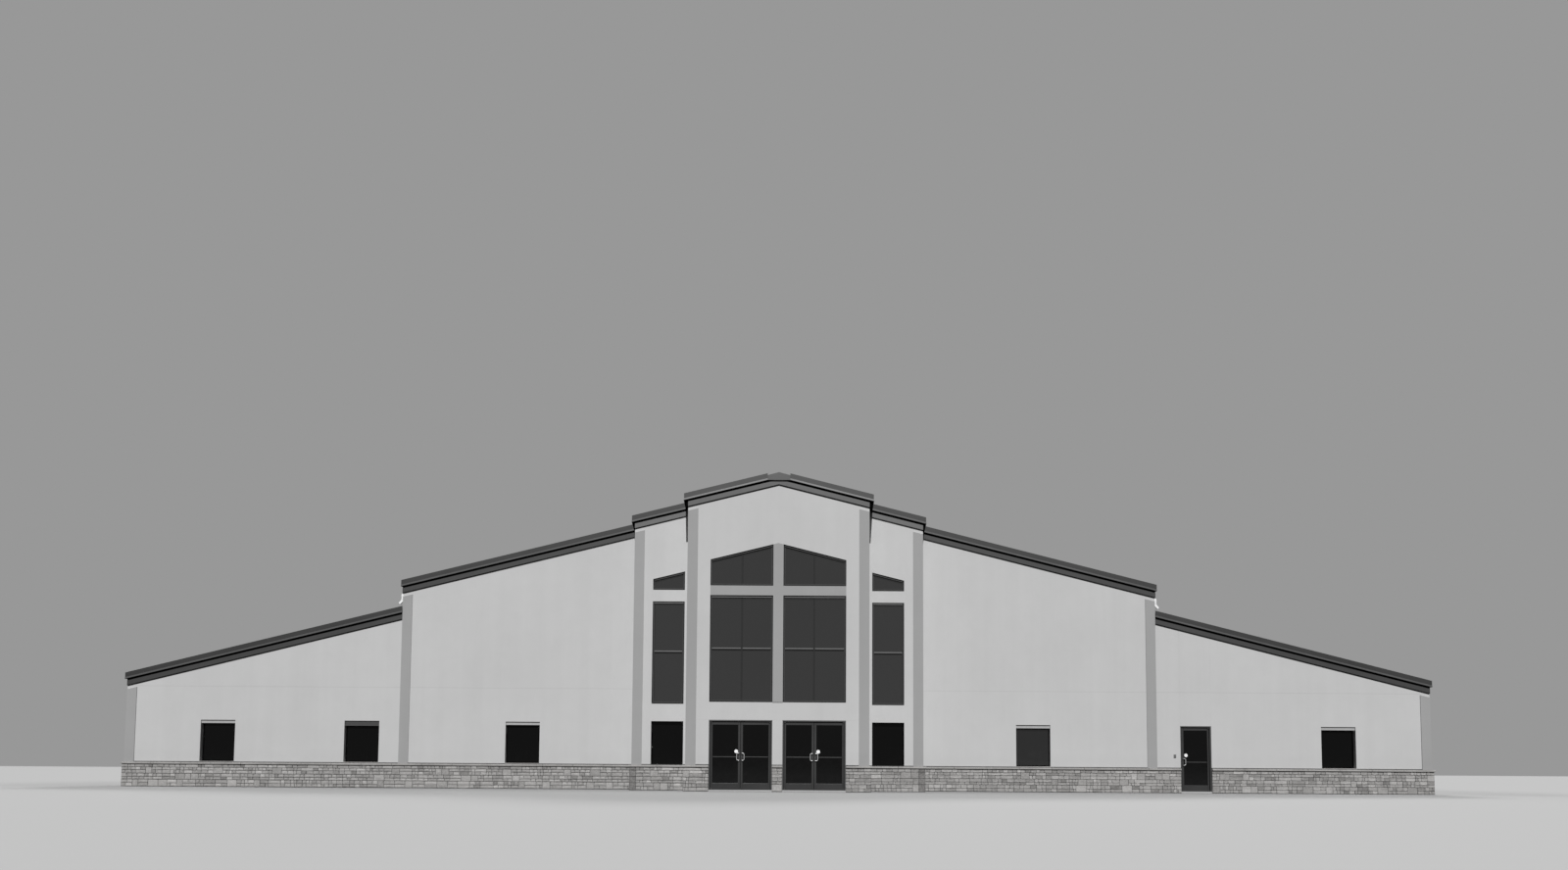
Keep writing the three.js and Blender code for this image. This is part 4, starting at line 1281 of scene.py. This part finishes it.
def lamp(name, strength, azimuth, elevation, spread):
    light = bpy.data.lights.new(name, "SUN")
    light.energy = strength
    light.angle = math.radians(spread)
    made = add_object(name, light)
    turn, rise = math.radians(azimuth), math.radians(elevation)
    toward = Vector((math.sin(turn) * math.cos(rise), -math.cos(turn) * math.cos(rise), math.sin(rise)))
    made.rotation_euler = toward.to_track_quat("Z", "Y").to_euler()


def sky():
    """A plain backdrop, which glass and metal mirror too, with a dimmer even light on the building."""
    world = bpy.data.worlds.new("plain_sky")
    nodes = Nodes(world)
    lit = nodes.make("ShaderNodeBackground", {}, {"Color": (SKY_LIGHT, SKY_LIGHT, SKY_LIGHT, 1)})
    seen = nodes.make("ShaderNodeBackground", {}, {"Color": grey(BACKDROP_TONE)})
    straight = nodes.make("ShaderNodeLightPath", out="Is Camera Ray")
    mirrored = nodes.make("ShaderNodeLightPath", out="Is Glossy Ray")
    either = nodes.make("ShaderNodeMath", {"operation": "MAXIMUM"}, {0: straight, 1: mirrored})
    choice = nodes.make("ShaderNodeMixShader", {}, {0: either, 1: lit, 2: seen})
    nodes.tree.links.new(choice.socket, nodes.tree.nodes["World Output"].inputs["Surface"])
    bpy.context.scene.world = world


def camera():
    """The photograph's place and angle: close to the ground, tipped up a little, in front of the entrance."""
    tip, lean, turn = CAMERA_TIP, CAMERA_LEAN, CAMERA_TURN
    forward = Vector((math.cos(tip) * math.sin(turn), math.cos(tip) * math.cos(turn), math.sin(tip)))
    level = Vector((math.cos(turn), -math.sin(turn), 0))
    rise = level.cross(forward)
    right = math.cos(lean) * level + math.sin(lean) * rise
    up = -math.sin(lean) * level + math.cos(lean) * rise
    lens = bpy.data.cameras.new("camera")
    lens.lens = CAMERA_LENS
    lens.sensor_width = 36
    lens.shift_y = CAMERA_SHIFT
    lens.clip_end = 1000
    made = add_object("camera", lens)
    turned = Matrix((right, up, -forward)).transposed().to_4x4()
    made.matrix_world = Matrix.Translation(CAMERA_PLACE) @ turned
    bpy.context.scene.camera = made


stage()
sky()
for name, settings in LAMPS.items():
    lamp(name, *settings)
camera()
bpy.context.scene.view_settings.view_transform = "Standard"
